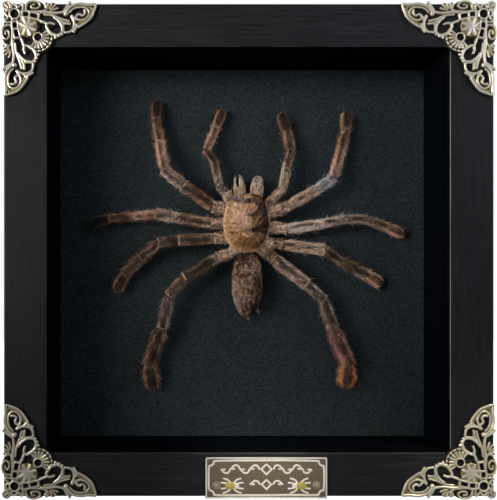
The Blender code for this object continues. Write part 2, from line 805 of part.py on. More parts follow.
def oval_shape(facets, size, blunt_front, blunt_back):
    """A ball stretched to a size, its ends along Z squarer as their bluntness rises above 2."""
    shape = bmesh.new()
    bmesh.ops.create_uvsphere(shape, u_segments=facets[0], v_segments=facets[1], radius=0.5)
    for vert in shape.verts:
        along = min(1.0, abs(vert.co.z) * 2)
        round_share = math.sqrt(1 - along**2)
        if round_share > WELD:
            blunt = blunt_front if vert.co.z > 0 else blunt_back
            fuller = (1 - along**blunt) ** (1 / blunt) / round_share
            vert.co.x *= fuller
            vert.co.y *= fuller
    bmesh.ops.scale(shape, vec=size, verts=shape.verts)
    return shape


def carapace_shape():
    """A low dome, widest behind its middle, narrower and blunt in front."""
    thick = (CARAPACE_TOP - CARAPACE_BASE) * MM
    centre = on_board(*CARAPACE_CENTRE, (CARAPACE_TOP + CARAPACE_BASE) / 2)
    size = (CARAPACE_WIDTH * MM, thick, CARAPACE_LENGTH * MM)
    shape = oval_shape(CARAPACE_FACETS, size, CARAPACE_BLUNT_FRONT, CARAPACE_BLUNT_BACK)
    for vert in shape.verts:
        ahead = max(0.0, vert.co.z / (size[2] / 2))
        vert.co.x *= 1.0 - (1 - CARAPACE_FRONT_SHARE) * ahead**1.5
    bmesh.ops.translate(shape, vec=centre, verts=shape.verts)
    return shape


def sternum_shape():
    """The underside that the legs grow from, from the board to the carapace."""
    width, length, thick = (value * MM for value in STERNUM_SIZE)
    shape = oval_shape(STERNUM_FACETS, (width, thick, length), STERNUM_BLUNT, STERNUM_BLUNT)
    centre = on_board(*STERNUM_CENTRE, STERNUM_SIZE[2] / 2 + STERNUM_CLEAR)
    bmesh.ops.translate(shape, vec=centre, verts=shape.verts)
    return shape


def abdomen_shape():
    """A long oval, nearly parallel in front and tapering behind, leaning down a little."""
    size = (ABDOMEN_WIDTH * MM, ABDOMEN_THICK * MM, ABDOMEN_LENGTH * MM)
    shape = oval_shape(ABDOMEN_FACETS, size, ABDOMEN_BLUNT_FRONT, ABDOMEN_BLUNT_BACK)
    for vert in shape.verts:
        behind = max(0.0, -vert.co.z / (size[2] / 2))
        vert.co.x *= 1.0 - (1 - ABDOMEN_BACK_SHARE) * behind**2
        vert.co.y += ABDOMEN_TILT * MM * behind**2
    centre = on_board(*ABDOMEN_CENTRE, ABDOMEN_THICK / 2 + ABDOMEN_CLEAR)
    bmesh.ops.translate(shape, vec=centre, verts=shape.verts)
    return shape


def short_limb(base, tip, radius, heights):
    """A jaw, a spinneret or the waist: a tube that swells and then narrows to its tip."""
    start, end = on_board(*base, heights[0]), on_board(*tip, heights[1])
    return tube_shape([(start.lerp(end, along), radius * MM * swell) for along, swell in SHORT_LIMB_SWELL])


def build_tarantula(parts, cutters, skin):
    """The dried spider, fused into one body, with a clear hole for its pin."""
    body = add_mesh("tarantula", carapace_shape(), parts, skin, SKIN_SMOOTH_ANGLE)
    grown = {"sternum": sternum_shape(), "abdomen": abdomen_shape()}
    grown["pedicel"] = short_limb(*PEDICEL, PEDICEL_HEIGHTS)
    for side, (base, tip, radius) in zip(("left", "right"), CHELICERAE):
        grown[f"chelicera_{side}"] = short_limb(base, tip, radius, CHELICERA_HEIGHTS)
    for side, (base, tip, radius) in zip(("left", "right"), SPINNERETS):
        grown[f"spinneret_{side}"] = short_limb(base, tip, radius, SPINNERET_HEIGHTS)
    for name, joints in LIMBS.items():
        grown[name] = limb_shape(joints)
    for name, shape in grown.items():
        boolean(body, add_cutter(f"{name}_form", shape, cutters), "UNION")
    hole = rod_shape(
        PIN_RADIUS + GAP, BOARD_Y + GAP, BOARD_Y - PIN_HOLE_FRONT, board_place(*PIN_PLACE), SMALL_SIDES
    )
    boolean(body, add_cutter("pin_hole_in_spider", hole, cutters), "DIFFERENCE")


def build_pin(parts, steel):
    """A steel insect pin with a small round head."""
    x, z = board_place(*PIN_PLACE)
    front = BOARD_Y - PIN_HEAD_FRONT * MM
    length = PIN_HEAD_FRONT * MM + MOUNT_THICK
    turns = [PIN_HEAD_STEP * i for i in range(PIN_HEAD_STEPS)]
    head = [(PIN_HEAD_RADIUS * math.sin(a), -PIN_HEAD_RADIUS * (1 - math.cos(a))) for a in turns]
    profile = [*head, (PIN_RADIUS, -length + PIN_POINT_LENGTH), (0.0, -length)]
    turned_part("insect_pin", profile, (x, front, z), parts, steel, SMALL_SIDES, to_front=True)


def main():
    clear_scene()
    parts = make_collection(COLLECTION_NAME)
    cutters = make_collection("cutters", hidden=True)
    paint = make_material("black_painted_wood", (0.016, 0.017, 0.019), 0.42)
    brass = make_material("antique_brass", (0.45, 0.38, 0.24), 0.35, 1.0)
    plate_brass = make_material("plate_brass", (0.36, 0.30, 0.21), 0.4, 1.0)
    steel = make_material("zinc_plated_steel", (0.55, 0.56, 0.57), 0.35, 1.0)
    pin_steel = make_material("pin_steel", (0.30, 0.31, 0.33), 0.25, 1.0)
    skin = make_material("dried_spider", (0.20, 0.12, 0.075), 0.75)
    liner = make_material("black_spacer", (0.010, 0.012, 0.017), 0.6)
    materials = {
        "glass": make_material("clear_glass", (0.85, 0.90, 0.88), 0.02),
        "paper": make_material("black_textured_paper", (0.018, 0.022, 0.024), 0.8),
        "hardboard": make_material("brown_hardboard", (0.22, 0.13, 0.07), 0.75),
    }
    build_rails(parts, cutters, paint)
    build_panels(parts, cutters, materials)
    build_spacers(parts, liner)
    build_points(parts, steel)
    build_hanger(parts, steel)
    build_corners(parts, brass)
    build_plate(parts, cutters, plate_brass, brass)
    build_tarantula(parts, cutters, skin)
    build_pin(parts, pin_steel)


main()
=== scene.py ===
"""The looks of a tarantula pinned in a black box frame: finishes, brass trim, spider, hair and studio.

Metres, +Z up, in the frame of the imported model. The box hangs on the plane Y = 0 and faces -Y. The
spider's own sizes are in millimetres right of and above the middle of the board, and in front of it.
"""

import logging
import math
from collections.abc import Iterable, Sequence
from dataclasses import dataclass, field
from enum import Enum
from functools import partial

import bpy
import numpy as np
from bpy.types import Curve, ID, Material, Mesh, Node, NodeSocket, NodeTree, Object, Spline
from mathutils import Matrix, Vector, noise

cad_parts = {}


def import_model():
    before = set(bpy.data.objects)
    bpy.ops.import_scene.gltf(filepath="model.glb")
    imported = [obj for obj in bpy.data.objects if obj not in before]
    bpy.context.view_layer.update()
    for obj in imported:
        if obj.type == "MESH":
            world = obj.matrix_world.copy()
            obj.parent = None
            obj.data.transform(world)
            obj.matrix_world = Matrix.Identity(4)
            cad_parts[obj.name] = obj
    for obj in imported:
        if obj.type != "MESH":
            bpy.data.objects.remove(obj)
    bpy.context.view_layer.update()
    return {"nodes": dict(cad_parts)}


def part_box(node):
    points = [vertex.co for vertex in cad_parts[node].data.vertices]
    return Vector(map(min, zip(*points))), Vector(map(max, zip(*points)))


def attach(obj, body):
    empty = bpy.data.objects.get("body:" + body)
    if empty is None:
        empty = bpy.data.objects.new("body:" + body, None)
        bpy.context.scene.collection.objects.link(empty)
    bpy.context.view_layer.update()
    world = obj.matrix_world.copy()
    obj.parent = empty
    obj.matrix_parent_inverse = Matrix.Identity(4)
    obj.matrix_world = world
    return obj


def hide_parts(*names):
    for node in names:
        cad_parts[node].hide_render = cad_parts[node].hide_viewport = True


LOG = logging.getLogger("specimen")
MM = 0.001

Loop = list[tuple[float, float]]
Inputs = dict[int | str, object]


class Runs(Enum):
    """Which way a rail's grain runs."""

    LEVEL = "level"
    UPRIGHT = "upright"


class Tone(Enum):
    """Colours of the dried spider's skin and hair, as sRGB hex."""

    DARK_BROWN = "3f2a20"
    REDDISH = "553425"
    UMBER = "5c4032"
    BROWN = "70503f"
    DARK_OLIVE = "35261a"
    OLIVE = "5a4733"
    OLIVE_BROWN = "6b5342"
    OLIVE_GREY = "665a4e"
    GREY_BROWN = "7c6559"
    GREY_PURPLE = "6f5d5e"
    GREY_PINK = "8f776c"
    BLUE_GREY = "9a979c"
    ROSY_TAN = "b98b77"
    PALE_TAN = "b59682"
    PALE_PINK = "c5a08c"
    PALE_GREY = "e0c8ba"
    ORANGE = "a86c48"
    PINK_RED = "91605a"
    CREAM = "f0dac4"
    ROSY_BEIGE = "dcae90"
    OCHRE = "bd8a55"
    GOLD = "d0a564"
    AMBER = "7f5835"
    HEAD_OLIVE = "4f331c"
    HEAD_PURPLE = "9a8488"
    BRIM = "f8d3a4"
    SHADE = "170d08"

    @property
    def rgb(self) -> tuple[float, float, float]:
        """The colour's linear red, green and blue."""
        return linear(self.value)[:3]


class Part(Enum):
    """The segments of a limb, from the body outwards."""

    COXA = "coxa"
    TROCHANTER = "trochanter"
    FEMUR = "femur"
    PATELLA = "patella"
    TIBIA = "tibia"
    METATARSUS = "metatarsus"
    TARSUS = "tarsus"


# Helpers


def linear(colour: str) -> tuple[float, float, float, float]:
    """Turns an sRGB hex colour to the linear values that a shader takes.

    Args:
        colour: Six hex digits, red first.

    Returns:
        Linear red, green, blue, and an alpha of 1.
    """
    values = [int(colour[i : i + 2], 16) / 255 for i in (0, 2, 4)]
    red, green, blue = (v / 12.92 if v <= 0.04045 else ((v + 0.055) / 1.055) ** 2.4 for v in values)
    return red, green, blue, 1.0


def ramp(low: float, high: float, value: float) -> float:
    """Rises softly from 0 at low to 1 at high."""
    share = min(1.0, max(0.0, (value - low) / (high - low)))
    return share * share * (3 - 2 * share)


def bump_at(value: float, middle: float, width: float) -> float:
    """A rounded bump of height 1 about a middle."""
    return math.exp(-(((value - middle) / width) ** 2))


def off_route(spot: tuple[float, float], route: Sequence[tuple[float, float]]) -> float:
    """Distance of a spot from the nearest straight stretch of a route."""
    gaps = []
    for start, end in zip(route, route[1:]):
        run = (end[0] - start[0], end[1] - start[1])
        reach = (spot[0] - start[0]) * run[0] + (spot[1] - start[1]) * run[1]
        share = min(1.0, max(0.0, reach / (run[0] ** 2 + run[1] ** 2)))
        gaps.append(math.dist(spot, (start[0] + run[0] * share, start[1] + run[1] * share)))
    return min(gaps)


def cloud(*place: float) -> float:
    """Smooth noise, from about -1 to 1, at a place of three values."""
    return noise.noise(Vector(place))


def blend(first: Sequence[float], second: Sequence[float], share: float) -> list[float]:
    """Mixes two colours of three or four values."""
    return [a + (b - a) * share for a, b in zip(first, second)]


def lit(colour: Sequence[float], steps: float) -> list[float]:
    """Lightens a colour by steps of e, or darkens it where steps is negative, and keeps its hue."""
    factor = min(math.exp(steps), 0.85 / max(*colour, 1e-6))
    return [value * factor for value in colour]


def select_only(*objects: Object) -> None:
    """Selects these objects and makes the first one active."""
    bpy.ops.object.select_all(action="DESELECT")
    for obj in objects:
        obj.select_set(True)
    bpy.context.view_layer.objects.active = objects[0]


def active() -> Object:
    """The active object, such as the one that an operator has just added."""
    return bpy.context.view_layer.objects.active


def settle(obj: Object | None = None) -> Object:
    """Puts the place, turn and scale of an object, or else of the active one, into its mesh."""
    obj = obj or active()
    select_only(obj)
    bpy.ops.object.transform_apply(location=True, rotation=True, scale=True)
    return obj


def join(name: str, objects: Sequence[Object]) -> Object:
    """Joins objects into the first of them.

    Args:
        name: Name of the joined piece.
        objects: At least one mesh object.

    Returns:
        The joined object, settled in its mesh.
    """
    select_only(*objects)
    if len(objects) > 1:
        bpy.ops.object.join()
    joined = active()
    joined.name = joined.data.name = name
    return settle(joined)


def as_mesh(obj: Object) -> Object:
    """Turns a curve object into a mesh with its caps welded on."""
    select_only(obj)
    bpy.ops.object.convert(target="MESH")
    bpy.ops.object.mode_set(mode="EDIT")
    bpy.ops.mesh.select_all(action="SELECT")
    bpy.ops.mesh.remove_doubles(threshold=0.002 * MM)
    bpy.ops.mesh.normals_make_consistent(inside=False)
    bpy.ops.object.mode_set(mode="OBJECT")
    return settle(obj)


def add_modifier(obj: Object, kind: str, **settings: object) -> None:
    """Adds a modifier with its settings, and applies it."""
    select_only(obj)
    modifier = obj.modifiers.new(kind.lower(), kind)
    for name, value in settings.items():
        setattr(modifier, name, value)
    bpy.ops.object.modifier_apply(modifier=modifier.name)


def smooth(obj: Object, degrees: float = 40.0) -> Object:
    """Shades an object smooth where its faces meet below an angle."""
    select_only(obj)
    bpy.ops.object.shade_smooth_by_angle(angle=math.radians(degrees))
    return obj


def new_object(name: str, data: ID) -> Object:
    """Adds an object with its data to the scene."""
    obj = bpy.data.objects.new(name, data)
    bpy.context.scene.collection.objects.link(obj)
    return obj


def copy_of(obj: Object) -> Object:
    """Copies an object with a mesh of its own."""
    return new_object(obj.name, obj.data.copy())


def read_points(mesh: Mesh) -> np.ndarray:
    """Reads a mesh's vertices as rows of three."""
    values = np.empty(len(mesh.vertices) * 3)
    mesh.vertices.foreach_get("co", values)
    return values.reshape(-1, 3)


def write_points(mesh: Mesh, points: np.ndarray) -> None:
    """Moves a mesh's vertices to new places."""
    mesh.vertices.foreach_set("co", np.asarray(points, dtype=float).ravel())
    mesh.update()


# How Blender names and sizes the values of each kind of attribute, and which attributes aren't plain numbers
STORED = {"FLOAT": ("value", 1), "FLOAT_VECTOR": ("vector", 3), "FLOAT_COLOR": ("color", 4)}
KINDS = {"tone": "FLOAT_COLOR", "lie": "FLOAT_VECTOR", "lay": "FLOAT_VECTOR"}


def write_attribute(mesh: Mesh, name: str, values: Sequence) -> None:
    """Stores one value, vector or colour for each vertex.

    Args:
        mesh: The mesh to write to.
        name: Name of the attribute.
        values: One row for each vertex.
    """
    kind = KINDS.get(name, "FLOAT")
    attribute = mesh.attributes.new(name, kind, "POINT")
    attribute.data.foreach_set(STORED[kind][0], np.asarray(values, dtype=np.float32).ravel())


def read_attribute(mesh: Mesh, name: str) -> np.ndarray:
    """Reads an attribute back, one row for each vertex."""
    attribute = mesh.attributes[name]
    field_name, width = STORED[attribute.data_type]
    values = np.empty(len(mesh.vertices) * width, dtype=np.float32)
    attribute.data.foreach_get(field_name, values)
    return values.reshape(-1, width)


def shape_skin(obj: Object, name: str, rows: Sequence[dict[str, object]]) -> Object:
    """Gives a form its final shape, and stores what its finish and its hair read.

    Args:
        obj: The form, with one vertex for each row.
        name: Its new name.
        rows: Each vertex's place and tone, and its other attributes by their names.

    Returns:
        The same object.
    """
    obj.name = obj.data.name = name
    write_points(obj.data, np.array([row["place"] for row in rows]))
    for key in rows[0]:
        if key != "place":
            write_attribute(obj.data, key, [[*row[key], 1.0] if key == "tone" else row[key] for row in rows])
    return obj


def ahead_and_across(axis: Vector) -> tuple[Vector, Vector]:
    """The ways to the front and to the side of something that runs along an axis."""
    front = Vector((0.0, -1.0, 0.0))
    front = (front - axis * front.dot(axis)).normalized()
    return front, front.cross(axis)


def feed(node: Node, inputs: Inputs | Sequence) -> None:
    """Sets a node's inputs, or links them to what feeds them.

    Args:
        node: A node of a material or a world.
        inputs: Values or output sockets, by the inputs' names or numbers, or in the inputs' order.
    """
    for key, value in inputs.items() if isinstance(inputs, dict) else enumerate(inputs):
        if isinstance(value, NodeSocket):
            node.id_data.links.new(value, node.inputs[key])
        else:
            node.inputs[key].default_value = value


def add_node(
    tree: NodeTree,
    kind: str,
    inputs: Inputs | Sequence = (),
    out: int | str = 0,
    **settings: object,
) -> NodeSocket:
    """Adds a shader node with its settings and links.

    Args:
        tree: The material's or world's node tree.
        kind: The node's type after ShaderNode, such as TexNoise.
        inputs: What its inputs take, as feed reads it.
        out: Name or number of the output that is wanted.
        settings: The node's own settings.

    Returns:
        That output.
    """
    node = tree.nodes.new(f"ShaderNode{kind}")
    for name, value in settings.items():
        setattr(node, name, value)
    feed(node, inputs)
    return node.outputs[out]


def hand_over(piece: Object, finish: "Finish", *nodes: str) -> Object:
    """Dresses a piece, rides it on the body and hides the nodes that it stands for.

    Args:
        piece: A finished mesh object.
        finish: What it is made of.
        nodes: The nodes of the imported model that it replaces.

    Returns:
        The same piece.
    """
    piece.data.materials.clear()
    piece.data.materials.append(finish.material())
    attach(piece, "root")
    if nodes:
        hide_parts(*nodes)
    LOG.info("%s: %d faces", piece.name, len(piece.data.polygons))
    return piece


@dataclass(frozen=True)
class Places:
    """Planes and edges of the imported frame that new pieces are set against, in metres."""

    front_y: float
    board_y: float
    centre_z: float
    half_width: float
    half_height: float
    floor_z: float

    @classmethod
    def read(cls) -> "Places":
        """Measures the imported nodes."""
        top_low, top_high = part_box("rail_top")
        bottom_low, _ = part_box("rail_bottom")
        board_low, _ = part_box("mount_board")
        centre_z = (top_high.z + bottom_low.z) / 2
        return cls(
            front_y=top_low.y, board_y=board_low.y, centre_z=centre_z,
            half_width=(top_high.x - top_low.x) / 2, half_height=(top_high.z - bottom_low.z) / 2,
            floor_z=centre_z - 350 * MM,
        )

    def on_board(self, right: float, above: float, front: float) -> Vector:
        """World point of a place given in millimetres from the middle of the board."""
        return Vector((right * MM, self.board_y - front * MM, self.centre_z + above * MM))


# Finishes


@dataclass(frozen=True)
class Finish:
    """What every finish shares: its name, and a slot name that nothing in this script reads."""

    name: str
    slot: str

    def material(self) -> Material:
        """Makes the material, or gives back the one that is there already."""
        known = bpy.data.materials.get(self.name)
        if known:
            return known
        material = bpy.data.materials.new(self.name)
        material.use_nodes = True
        tree = material.node_tree
        feed(tree.nodes["Principled BSDF"], self.paint(tree))
        return material

    def paint(self, tree: NodeTree) -> Inputs:
        """Adds the finish's nodes, and gives what the shader's inputs take."""
        raise NotImplementedError


@dataclass(frozen=True)
class PaintedWood(Finish):
    """Softwood, brushed with satin black paint: the grain still reads as fine streaks along the rail.

    The lip's inner wall is painted nearly black as shade, and a thin pale line along its front edge is a
    painted highlight, patchy along its length.
    """

    runs: Runs = Runs.LEVEL
    dark: str = "131317"
    light: str = "2e2f35"
    edge_at: float = 0.0
    front_y: float = 0.0
    # Painted highlight's strength on the lip's front edge, the edge band's half width, the lip wall's painted
    # shade, and the painted highlight's colour
    worn: float = 0.0
    lip_band_half: float = 0.3 * MM
    wall_shade: str = "040406"
    rubbed: str = "a5a49e"
    streak_length: float = 14 * MM
    streak_width: float = 0.4 * MM
    mottle: float = 30 * MM
    speck: float = 0.5 * MM

    def paint(self, tree: NodeTree) -> Inputs:
        """Streaks of colour and gloss, a shallow grain, a few dust nibs, and painted shade and highlight at
        the lip.
        """
        node = partial(add_node, tree)
        is_level = self.runs is Runs.LEVEL
        place = node("TexCoord", out="Object")
        along, across = 1 / self.streak_length, 1 / self.streak_width
        scale = (along, across, across) if is_level else (across, across, along)
        turned = node("Mapping", {"Vector": place, "Scale": scale})
        grain = {"Vector": turned, "Scale": 1.0, "Detail": 4.0, "Roughness": 0.65}
        streaks = node("TexNoise", grain)
        mottles = node("TexNoise", {"Vector": place, "Scale": 1 / self.mottle, "Detail": 2.0})
        nibs = node("TexNoise", {"Vector": place, "Scale": 1 / self.speck, "Detail": 1.0})
        share = node("MapRange", (streaks, 0.35, 0.72))
        share = node("Math", (share, mottles), operation="MULTIPLY")
        raised = node("MapRange", (nibs, 0.64, 0.76))
        share = node("Math", (raised, 1.6, share), operation="MULTIPLY_ADD")
        tones = {0: share, 6: linear(self.dark), 7: linear(self.light)}
        paint = node("Mix", tones, 2, data_type="RGBA")
        inward = node("SeparateXYZ", (place,), "Z" if is_level else "X")
        ahead = inward.node.outputs["Y"]
        at_edge = node("Math", (inward, self.edge_at, self.lip_band_half), operation="COMPARE")
        at_front = node("Math", (ahead, self.front_y, self.lip_band_half), operation="COMPARE")
        # The painted highlight's strength, patchy along the edge
        rubbed = node("MapRange", (mottles, 0.35, 0.55, 0.45 * self.worn, self.worn))
        corner = node("Math", (at_edge, at_front), operation="MULTIPLY")
        edge_highlight = node("Math", (corner, rubbed), operation="MULTIPLY")
        # Painted shade on the lip's inner wall, then the painted highlight on its front edge
        wall_shaded = node("Mix", {0: at_edge, 6: paint, 7: linear(self.wall_shade)}, 2, data_type="RGBA")
        colour = node("Mix", {0: edge_highlight, 6: wall_shaded, 7: linear(self.rubbed)}, 2, data_type="RGBA")
        height = node("Math", (streaks, raised), operation="ADD")
        return {
            "Base Color": colour,
            "Specular IOR Level": node("MapRange", (at_edge, 0.0, 1.0, 0.3, 0.02)),
            "Roughness": node("MapRange", (streaks, 0.3, 0.7, 0.4, 0.56)),
            "Normal": node("Bump", {"Strength": 0.5, "Distance": 0.06 * MM, "Height": height}),
        }


@dataclass(frozen=True)
class ClearGlass(Finish):
    """Float glass with an anti-reflection coating: clear, with a faint green in its edge."""

    tint: str = "fafdfb"
    mirrored: str = "9a9fa8"
    handled: float = 40 * MM

    def paint(self, tree: NodeTree) -> Inputs:
        """Plain transmission, and a roughness that only handling marks raise."""
        node = partial(add_node, tree)
        place = node("TexCoord", out="Object")
        haze = node("TexNoise", {"Vector": place, "Scale": 1 / self.handled, "Detail": 2.0})
        return {
            "Base Color": linear(self.tint),
            "Transmission Weight": 1.0,
            "IOR": 1.5,
            "Specular Tint": linear(self.mirrored),
            "Roughness": node("MapRange", (haze, 0.55, 1.0, 0.0, 0.02)),
        }


@dataclass(frozen=True)
class CardLiner(Finish):
    """Black card over foam with a dull face: flat and smooth, with a blue cast where it takes the light."""

    # Both tones are darker than real card: painted shade on the box's inner walls
    dark: str = "010307"
    light: str = "03060d"
    fibre: float = 1.2 * MM

    def paint(self, tree: NodeTree) -> Inputs:
        """A very faint fibre in the card."""
        node = partial(add_node, tree)
        place = node("TexCoord", out="Object")
        fibres = node("TexNoise", {"Vector": place, "Scale": 1 / self.fibre, "Detail": 3.0})
        tones = {0: fibres, 6: linear(self.dark), 7: linear(self.light)}
        return {
            "Base Color": node("Mix", tones, 2, data_type="RGBA"),
            "Roughness": 0.85,
            "Specular IOR Level": 0.02,
            "Normal": node("Bump", {"Strength": 0.1, "Distance": 0.05 * MM, "Height": fibres}),
        }


@dataclass(frozen=True)
class TexturedPaper(Finish):
    """Black embossed paper on foam board: a tight pebble that sparkles grey and faintly green.

    The real pebble is about 0.3 mm across. It is drawn at 0.55 mm, the least that the picture shows.
    """

    dark: str = "020508"
    light: str = "2b373e"
    pebble: float = 0.55 * MM
    fading: float = 22 * MM

    def paint(self, tree: NodeTree) -> Inputs:
        """Pebbles in colour and height over a slow change of tone."""
        node = partial(add_node, tree)
        place = node("TexCoord", out="Object")
        pebbles = {"Vector": place, "Scale": 1 / self.pebble, "Detail": 2.0, "Roughness": 0.6}
        grain = node("TexNoise", pebbles)
        slow = node("TexNoise", {"Vector": place, "Scale": 1 / self.fading, "Detail": 2.0})
        share = node("MapRange", (grain, 0.4, 0.62))
        faded = node("MapRange", (slow, 0.0, 1.0, 0.65, 1.0))
        share = node("Math", (share, faded), operation="MULTIPLY")
        tones = {0: share, 6: linear(self.dark), 7: linear(self.light)}
        return {
            "Base Color": node("Mix", tones, 2, data_type="RGBA"),
            "Roughness": 0.7,
            "Specular IOR Level": 0.25,
            "Normal": node("Bump", {"Strength": 0.8, "Distance": 0.22 * MM, "Height": grain}),
        }


@dataclass(frozen=True)
class Hardboard(Finish):
    """Pressed brown fibre, its rough face out: short fibres in every direction and a screen's mark."""

    dark: str = "4a3020"
    light: str = "8a6444"
    fibre: float = 0.9 * MM
    screen: float = 1.6 * MM

    def paint(self, tree: NodeTree) -> Inputs:
        """Fibres for colour, and the press screen's mesh for height."""
        node = partial(add_node, tree)
        place = node("TexCoord", out="Object")
        strands = {"Vector": place, "Scale": 1 / self.fibre, "Detail": 5.0, "Distortion": 1.5}
        fibres = node("TexNoise", strands)
        wires = {"Vector": place, "Scale": 0.05 / self.screen, "Distortion": 0.4}
        weave = [node("TexWave", wires, "Fac", bands_direction=way) for way in ("X", "Z")]
        mesh = node("Math", weave, operation="MULTIPLY")
        height = node("Math", (mesh, fibres), operation="ADD")
        tones = {0: fibres, 6: linear(self.dark), 7: linear(self.light)}
        return {
            "Base Color": node("Mix", tones, 2, data_type="RGBA"),
            "Roughness": 0.8,
            "Normal": node("Bump", {"Strength": 0.5, "Distance": 0.2 * MM, "Height": height}),
        }


@dataclass(frozen=True)
class PlatedSteel(Finish):
    """Rolled steel, zinc plated or polished: grey metal with faint rolling marks and dull spots."""

    colour: str = "b4b6b8"
    spot: str = "8b8c8c"
    rough: float = 0.35
    mark: float = 0.25 * MM

    def paint(self, tree: NodeTree) -> Inputs:
        """Spangle in colour and gloss."""
        node = partial(add_node, tree)
        place = node("TexCoord", out="Object")
        spangle = node("TexNoise", {"Vector": place, "Scale": 1 / (4 * self.mark), "Detail": 4.0})
        tones = {0: spangle, 6: linear(self.colour), 7: linear(self.spot)}
        rough = (spangle, 0.0, 1.0, self.rough - 0.08, self.rough + 0.12)
        return {
            "Base Color": node("Mix", tones, 2, data_type="RGBA"),
            "Metallic": 1.0,
            "Roughness": node("MapRange", rough),
        }


@dataclass(frozen=True)
class AntiqueBrass(Finish):
    """Stamped brass, darkened and then rubbed back: pale on its ridges, brown-black in its recesses.

    The rubbing follows the relief, so the colour goes by the height between two planes of the piece.
    """

    recess_y: float = 0.0
    ridge_y: float = 0.0
    recess: str = "120d09"
    face: str = "ab9b68"
    ridge: str = "fff9ea"
    rubbed: tuple[float, float] = (0.75, 1.05)
    rough: float = 0.3
    shine: float = 0.6
    pit: float = 0.35 * MM
    stain: float = 5 * MM

    def paint(self, tree: NodeTree) -> Inputs:
        """Patina by height, broken up by a fine pitting."""
        node = partial(add_node, tree)
        place = node("TexCoord", out="Object")
        pits = node("TexNoise", {"Vector": place, "Scale": 1 / self.pit, "Detail": 3.0})
        stains = node("TexNoise", {"Vector": place, "Scale": 1 / self.stain, "Detail": 3.0})
        depth = node("SeparateXYZ", (place,), "Y")
        height = node("MapRange", (depth, self.recess_y, self.ridge_y))
        worn = node("Math", (pits, 0.35, height), operation="MULTIPLY_ADD")
        low = node("MapRange", (worn, 0.22, 0.5))
        high = node("MapRange", (worn, *self.rubbed))
        tones = {0: low, 6: linear(self.recess), 7: linear(self.face)}
        patina = node("Mix", tones, 2, data_type="RGBA")
        colour = node("Mix", {0: high, 6: patina, 7: linear(self.ridge)}, 2, data_type="RGBA")
        rough = (stains, 0.0, 1.0, self.rough - 0.06, self.rough + 0.14)
        return {
            "Base Color": colour,
            "Metallic": node("MapRange", (low, 0.0, 1.0, 0.0, self.shine)),
            "Roughness": node("MapRange", rough),
            "Normal": node("Bump", {"Strength": 0.25, "Distance": 0.04 * MM, "Height": pits}),
        }


@dataclass(frozen=True)
class Cuticle(Finish):
    """Dried chitin under short hair: dull, faintly oily, streaked along each segment.

    The vertices hold its colour as tone, and lie holds the place along and round a segment, so the
    streaks follow the limb.
    """

    streak: float = 0.35 * MM
    gloss: float = 0.5

    def paint(self, tree: NodeTree) -> Inputs:
        """Streaks darken and lighten the tone, and wrinkle the surface."""
        node = partial(add_node, tree)
        tone = node("Attribute", out="Color", attribute_name="tone")
        lie = node("Attribute", out="Vector", attribute_name="lie")
        wrinkles = {"Vector": lie, "Scale": 1 / self.streak, "Detail": 3.0, "Roughness": 0.7}
        streaks = node("TexNoise", wrinkles)
        light = node("MapRange", (streaks, 0.3, 0.7, 0.2, 1.14))
        return {
            "Base Color": node("VectorMath", {0: tone, "Scale": light}, operation="SCALE"),
            "Roughness": self.gloss,
            "Specular IOR Level": 0.15,
            "Normal": node("Bump", {"Strength": 0.7, "Distance": 0.2 * MM, "Height": streaks}),
        }


@dataclass(frozen=True)
class Hair(Finish):
    """Spider hair: fine dry bristle, dark at its root and bleached at its tip."""

    gloss: float = 0.45
    dust: float = 0.8 * MM

    def paint(self, tree: NodeTree) -> Inputs:
        """The colour that each hair took from the skin, broken up a little along its length."""
        node = partial(add_node, tree)
        tone = node("Attribute", out="Color", attribute_name="tone")
        place = node("TexCoord", out="Object")
        dust = node("TexNoise", {"Vector": place, "Scale": 1 / self.dust, "Detail": 2.0})
        light = node("MapRange", (dust, 0.0, 1.0, 0.59, 1.0))
        return {
            "Base Color": node("VectorMath", {0: tone, "Scale": light}, operation="SCALE"),
            "Roughness": self.gloss,
            "Specular IOR Level": 0.12,
        }


@dataclass(frozen=True)
class BareChitin(Finish):
    """Hard hairless chitin, polished, with a sharp glint: near black, and bone pale on the fang as a painted
    glint.
    """

    colour: str = "120d0b"
    clouded: str = "241a16"
    rough: float = 0.12
    cloud: float = 0.6 * MM

    def paint(self, tree: NodeTree) -> Inputs:
        """A faint cloud under the gloss."""
        node = partial(add_node, tree)
        place = node("TexCoord", out="Object")
        clouds = node("TexNoise", {"Vector": place, "Scale": 1 / self.cloud, "Detail": 2.0})
        tones = {0: clouds, 6: linear(self.colour), 7: linear(self.clouded)}
        return {"Base Color": node("Mix", tones, 2, data_type="RGBA"), "Roughness": self.rough}


GLASS = ClearGlass("float_glass", "clear_glass")
LINER = CardLiner("black_card_liner", "spacer_liner")
PAPER = TexturedPaper("black_embossed_paper", "textured_paper")
BACKING = Hardboard("brown_hardboard", "hardboard")
ZINC = PlatedSteel("zinc_plated_steel", "zinc_steel")
PIN_STEEL = PlatedSteel("polished_pin_steel", "pin_steel", "c4c6ca", "7e8084", 0.25, 0.1 * MM)
CUTICLE = Cuticle("dried_cuticle", "spider_skin")
HAIR = Hair("spider_hair", "spider_skin")
EYE = BareChitin("polished_eye_chitin", "spider_skin")
# The fang's pale colour is a painted glint
FANG = BareChitin("fang_chitin_painted_glint", "spider_skin", "c9cbd0", "8f9296", 0.2)


# Strokes and brass work


@dataclass(frozen=True)
class Stroke:
    """A raised line of stamped brass: its route in millimetres and its half width."""

    route: Loop
    radius: float = 0.36
    tip: float = 1.0

    def mirrored(self) -> "Stroke":
        """The same stroke on the other arm of a corner."""
        return Stroke([(inward, along) for along, inward in self.route], self.radius, self.tip)


def ray(centre: tuple[float, float], degrees: float, reaches: Iterable[float]) -> Loop:
    """Points that run straight out from a centre."""
    turn = math.radians(degrees)
    return [(centre[0] + reach * math.cos(turn), centre[1] + reach * math.sin(turn)) for reach in reaches]


